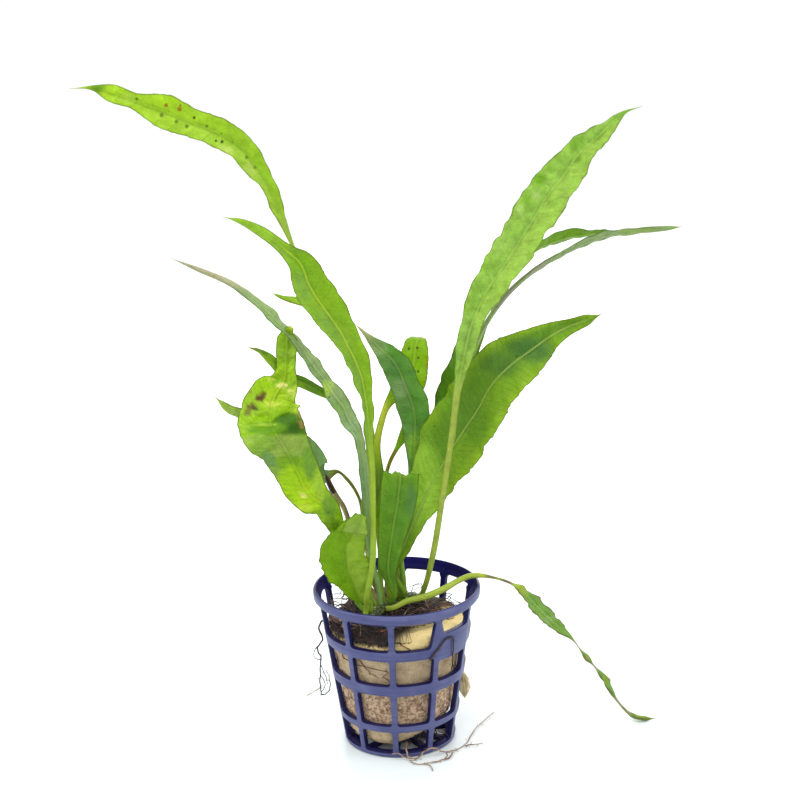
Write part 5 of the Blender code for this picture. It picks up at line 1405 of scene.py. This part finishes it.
def lone_root(points, thick, seed):
    """A wandering root with side hairs, from a route in mm."""
    route = smooth_route(points, 6 * len(points))
    line = []
    for index, place in enumerate(route):
        drift = Vector([noise.noise(Vector((index * 0.35, seed, axis * 5))) for axis in range(3)]) * 0.28
        spot = Vector(place) + drift
        spot.z = max(spot.z, thick)
        line.append((spot * MM, thick * MM * (1 - 0.5 * index / len(route))))
    hairs = [line]
    for _ in range(2 * len(points)):
        start = random.randrange(2, len(line) - 2)
        place = line[start][0].copy()
        heading = Vector((random.gauss(0, 1), random.gauss(0, 1), random.gauss(0, 0.6))).normalized()
        hair = [(place.copy(), 0.06 * MM)]
        for _ in range(4):
            heading = (heading + Vector((random.gauss(0, 0.4), random.gauss(0, 0.4), -0.15))).normalized()
            place = place + heading * 0.35 * MM
            place.z = max(place.z, 0.08 * MM)
            hair.append((place.copy(), 0.045 * MM))
        hairs.append(hair)
    return hairs


for seed, (node, (material, slot, thick, points)) in enumerate(LONE_ROOTS.items()):
    strands(node + "_strand", lone_root(points, thick, seed * 3.7), material, slot, node)
bent = [tuple(around(math.radians(a), wall_radius(h) + 0.45, h) / MM) for a, h in BENT_ROOT]
strands("root_bent_strand", lone_root(bent, 0.32, 40), dark_root, "roots", "root_bent")
branches = [
    smooth_route([(-23.4, -2.9, 24.5), (-22.6, -4, 22.6), (-21.9, -5, 21.4), (-21.5, -6, 19.4)], 14),
    smooth_route([(-24.2, -2.6, 30.5), (-25.2, -2.8, 29), (-25.3, -3, 27.2), (-24.2, -3, 26.2), (-23.2, -4, 27)], 18),
    smooth_route([(-23.6, -3, 21), (-22.8, -3.5, 20), (-22.3, -4, 18.6), (-22.7, -4, 17.2), (-23.6, -3, 15.6)], 16)]
strands("root_left_twigs", [[(Vector(spot) * MM, 0.13 * MM) for spot in route] for route in branches], dark_root, "roots")
tails = [
    smooth_route([(-2.4, -17.9, 1.9), (-0.7, -18, 2.2), (1, -18.2, 1.0), (2.6, -18.8, 0.8), (4.9, -18.2, 0.6)], 20),
    smooth_route([(7.0, -21.2, 0.5), (8.6, -22.8, 0.4), (9.4, -25.7, 0.3)], 12),
    smooth_route([(13.0, -19.0, 0.5), (13.9, -17.4, 0.8), (13.6, -15.6, 0.5)], 10)]
strands("root_table_tails", [[(Vector(spot) * MM, 0.17 * MM) for spot in route] for route in tails], pale_root, "pale_roots")
print("single roots:", len(LONE_ROOTS) + 1)

# %% [markdown]
# ## The rhizome
# The rhizome is the fern's creeping stem: green-brown, as thick as a pencil lead's holder, with dark scaly
# bands where old fronds grew. A tube with many rings follows its line, and noise makes the scales.


# %% The creeping stem
def rhizome_bark():
    bench = Bench("rhizome_bark", 0.55)
    scales = bench.cells(700)
    lumps = bench.cloud(380, 4)
    tone = bench.blend(dye(70, 84, 26), dye(112, 138, 44), bench.rise(lumps, 0.35, 0.68))
    tone = bench.blend(dye(36, 26, 14), tone, bench.rise(scales, 0.02, 0.16))
    tone = bench.blend(tone, dye(44, 34, 20), bench.rise(bench.cloud(160, 2), 0.52, 0.66) * 0.8)
    bench.colour(tone)
    bench.relief(bench.rise(scales, 0.0, 0.2) * 0.6 + lumps * 0.6, 0.0003)
    return bench.material


stem_line = smooth_route(RHIZOME, 97) * MM
bm = bmesh.new()
bmesh.ops.create_cone(bm, cap_ends=True, cap_tris=False, segments=28, radius1=1, radius2=1, depth=1)
uprights = [edge for edge in bm.edges if abs(edge.verts[0].co.z - edge.verts[1].co.z) > 0.5]
bmesh.ops.subdivide_edges(bm, edges=uprights, cuts=95, use_grid_fill=False)
for vert in bm.verts:
    share = vert.co.z + 0.5
    index = min(max(round(share * 96), 0), 96)
    angle = math.atan2(vert.co.y, vert.co.x)
    ahead_point, behind_point = stem_line[min(index + 1, 96)], stem_line[max(index - 1, 0)]
    along = Vector(ahead_point - behind_point).normalized()
    side = along.cross(Vector((0, 0, 1))).normalized()
    over = side.cross(along)
    thick = 2.0 * min(1, 0.35 + 5 * share, 0.35 + 5 * (1 - share))
    thick += 0.16 * math.sin(share * 62) * math.sin(share * 23 + 1) + 0.5 * noise.noise(
        Vector((share * 16, math.cos(angle) * 1.6, math.sin(angle) * 1.6)))
    vert.co = Vector(stem_line[index]) + (side * math.cos(angle) + over * math.sin(angle)) * thick * MM
outwards(bm)
for stem_face in bm.faces:
    stem_face.smooth = True
piece("creeping_stem", bm, rhizome_bark(), "rhizome", "rhizome")
print("rhizome dressed")
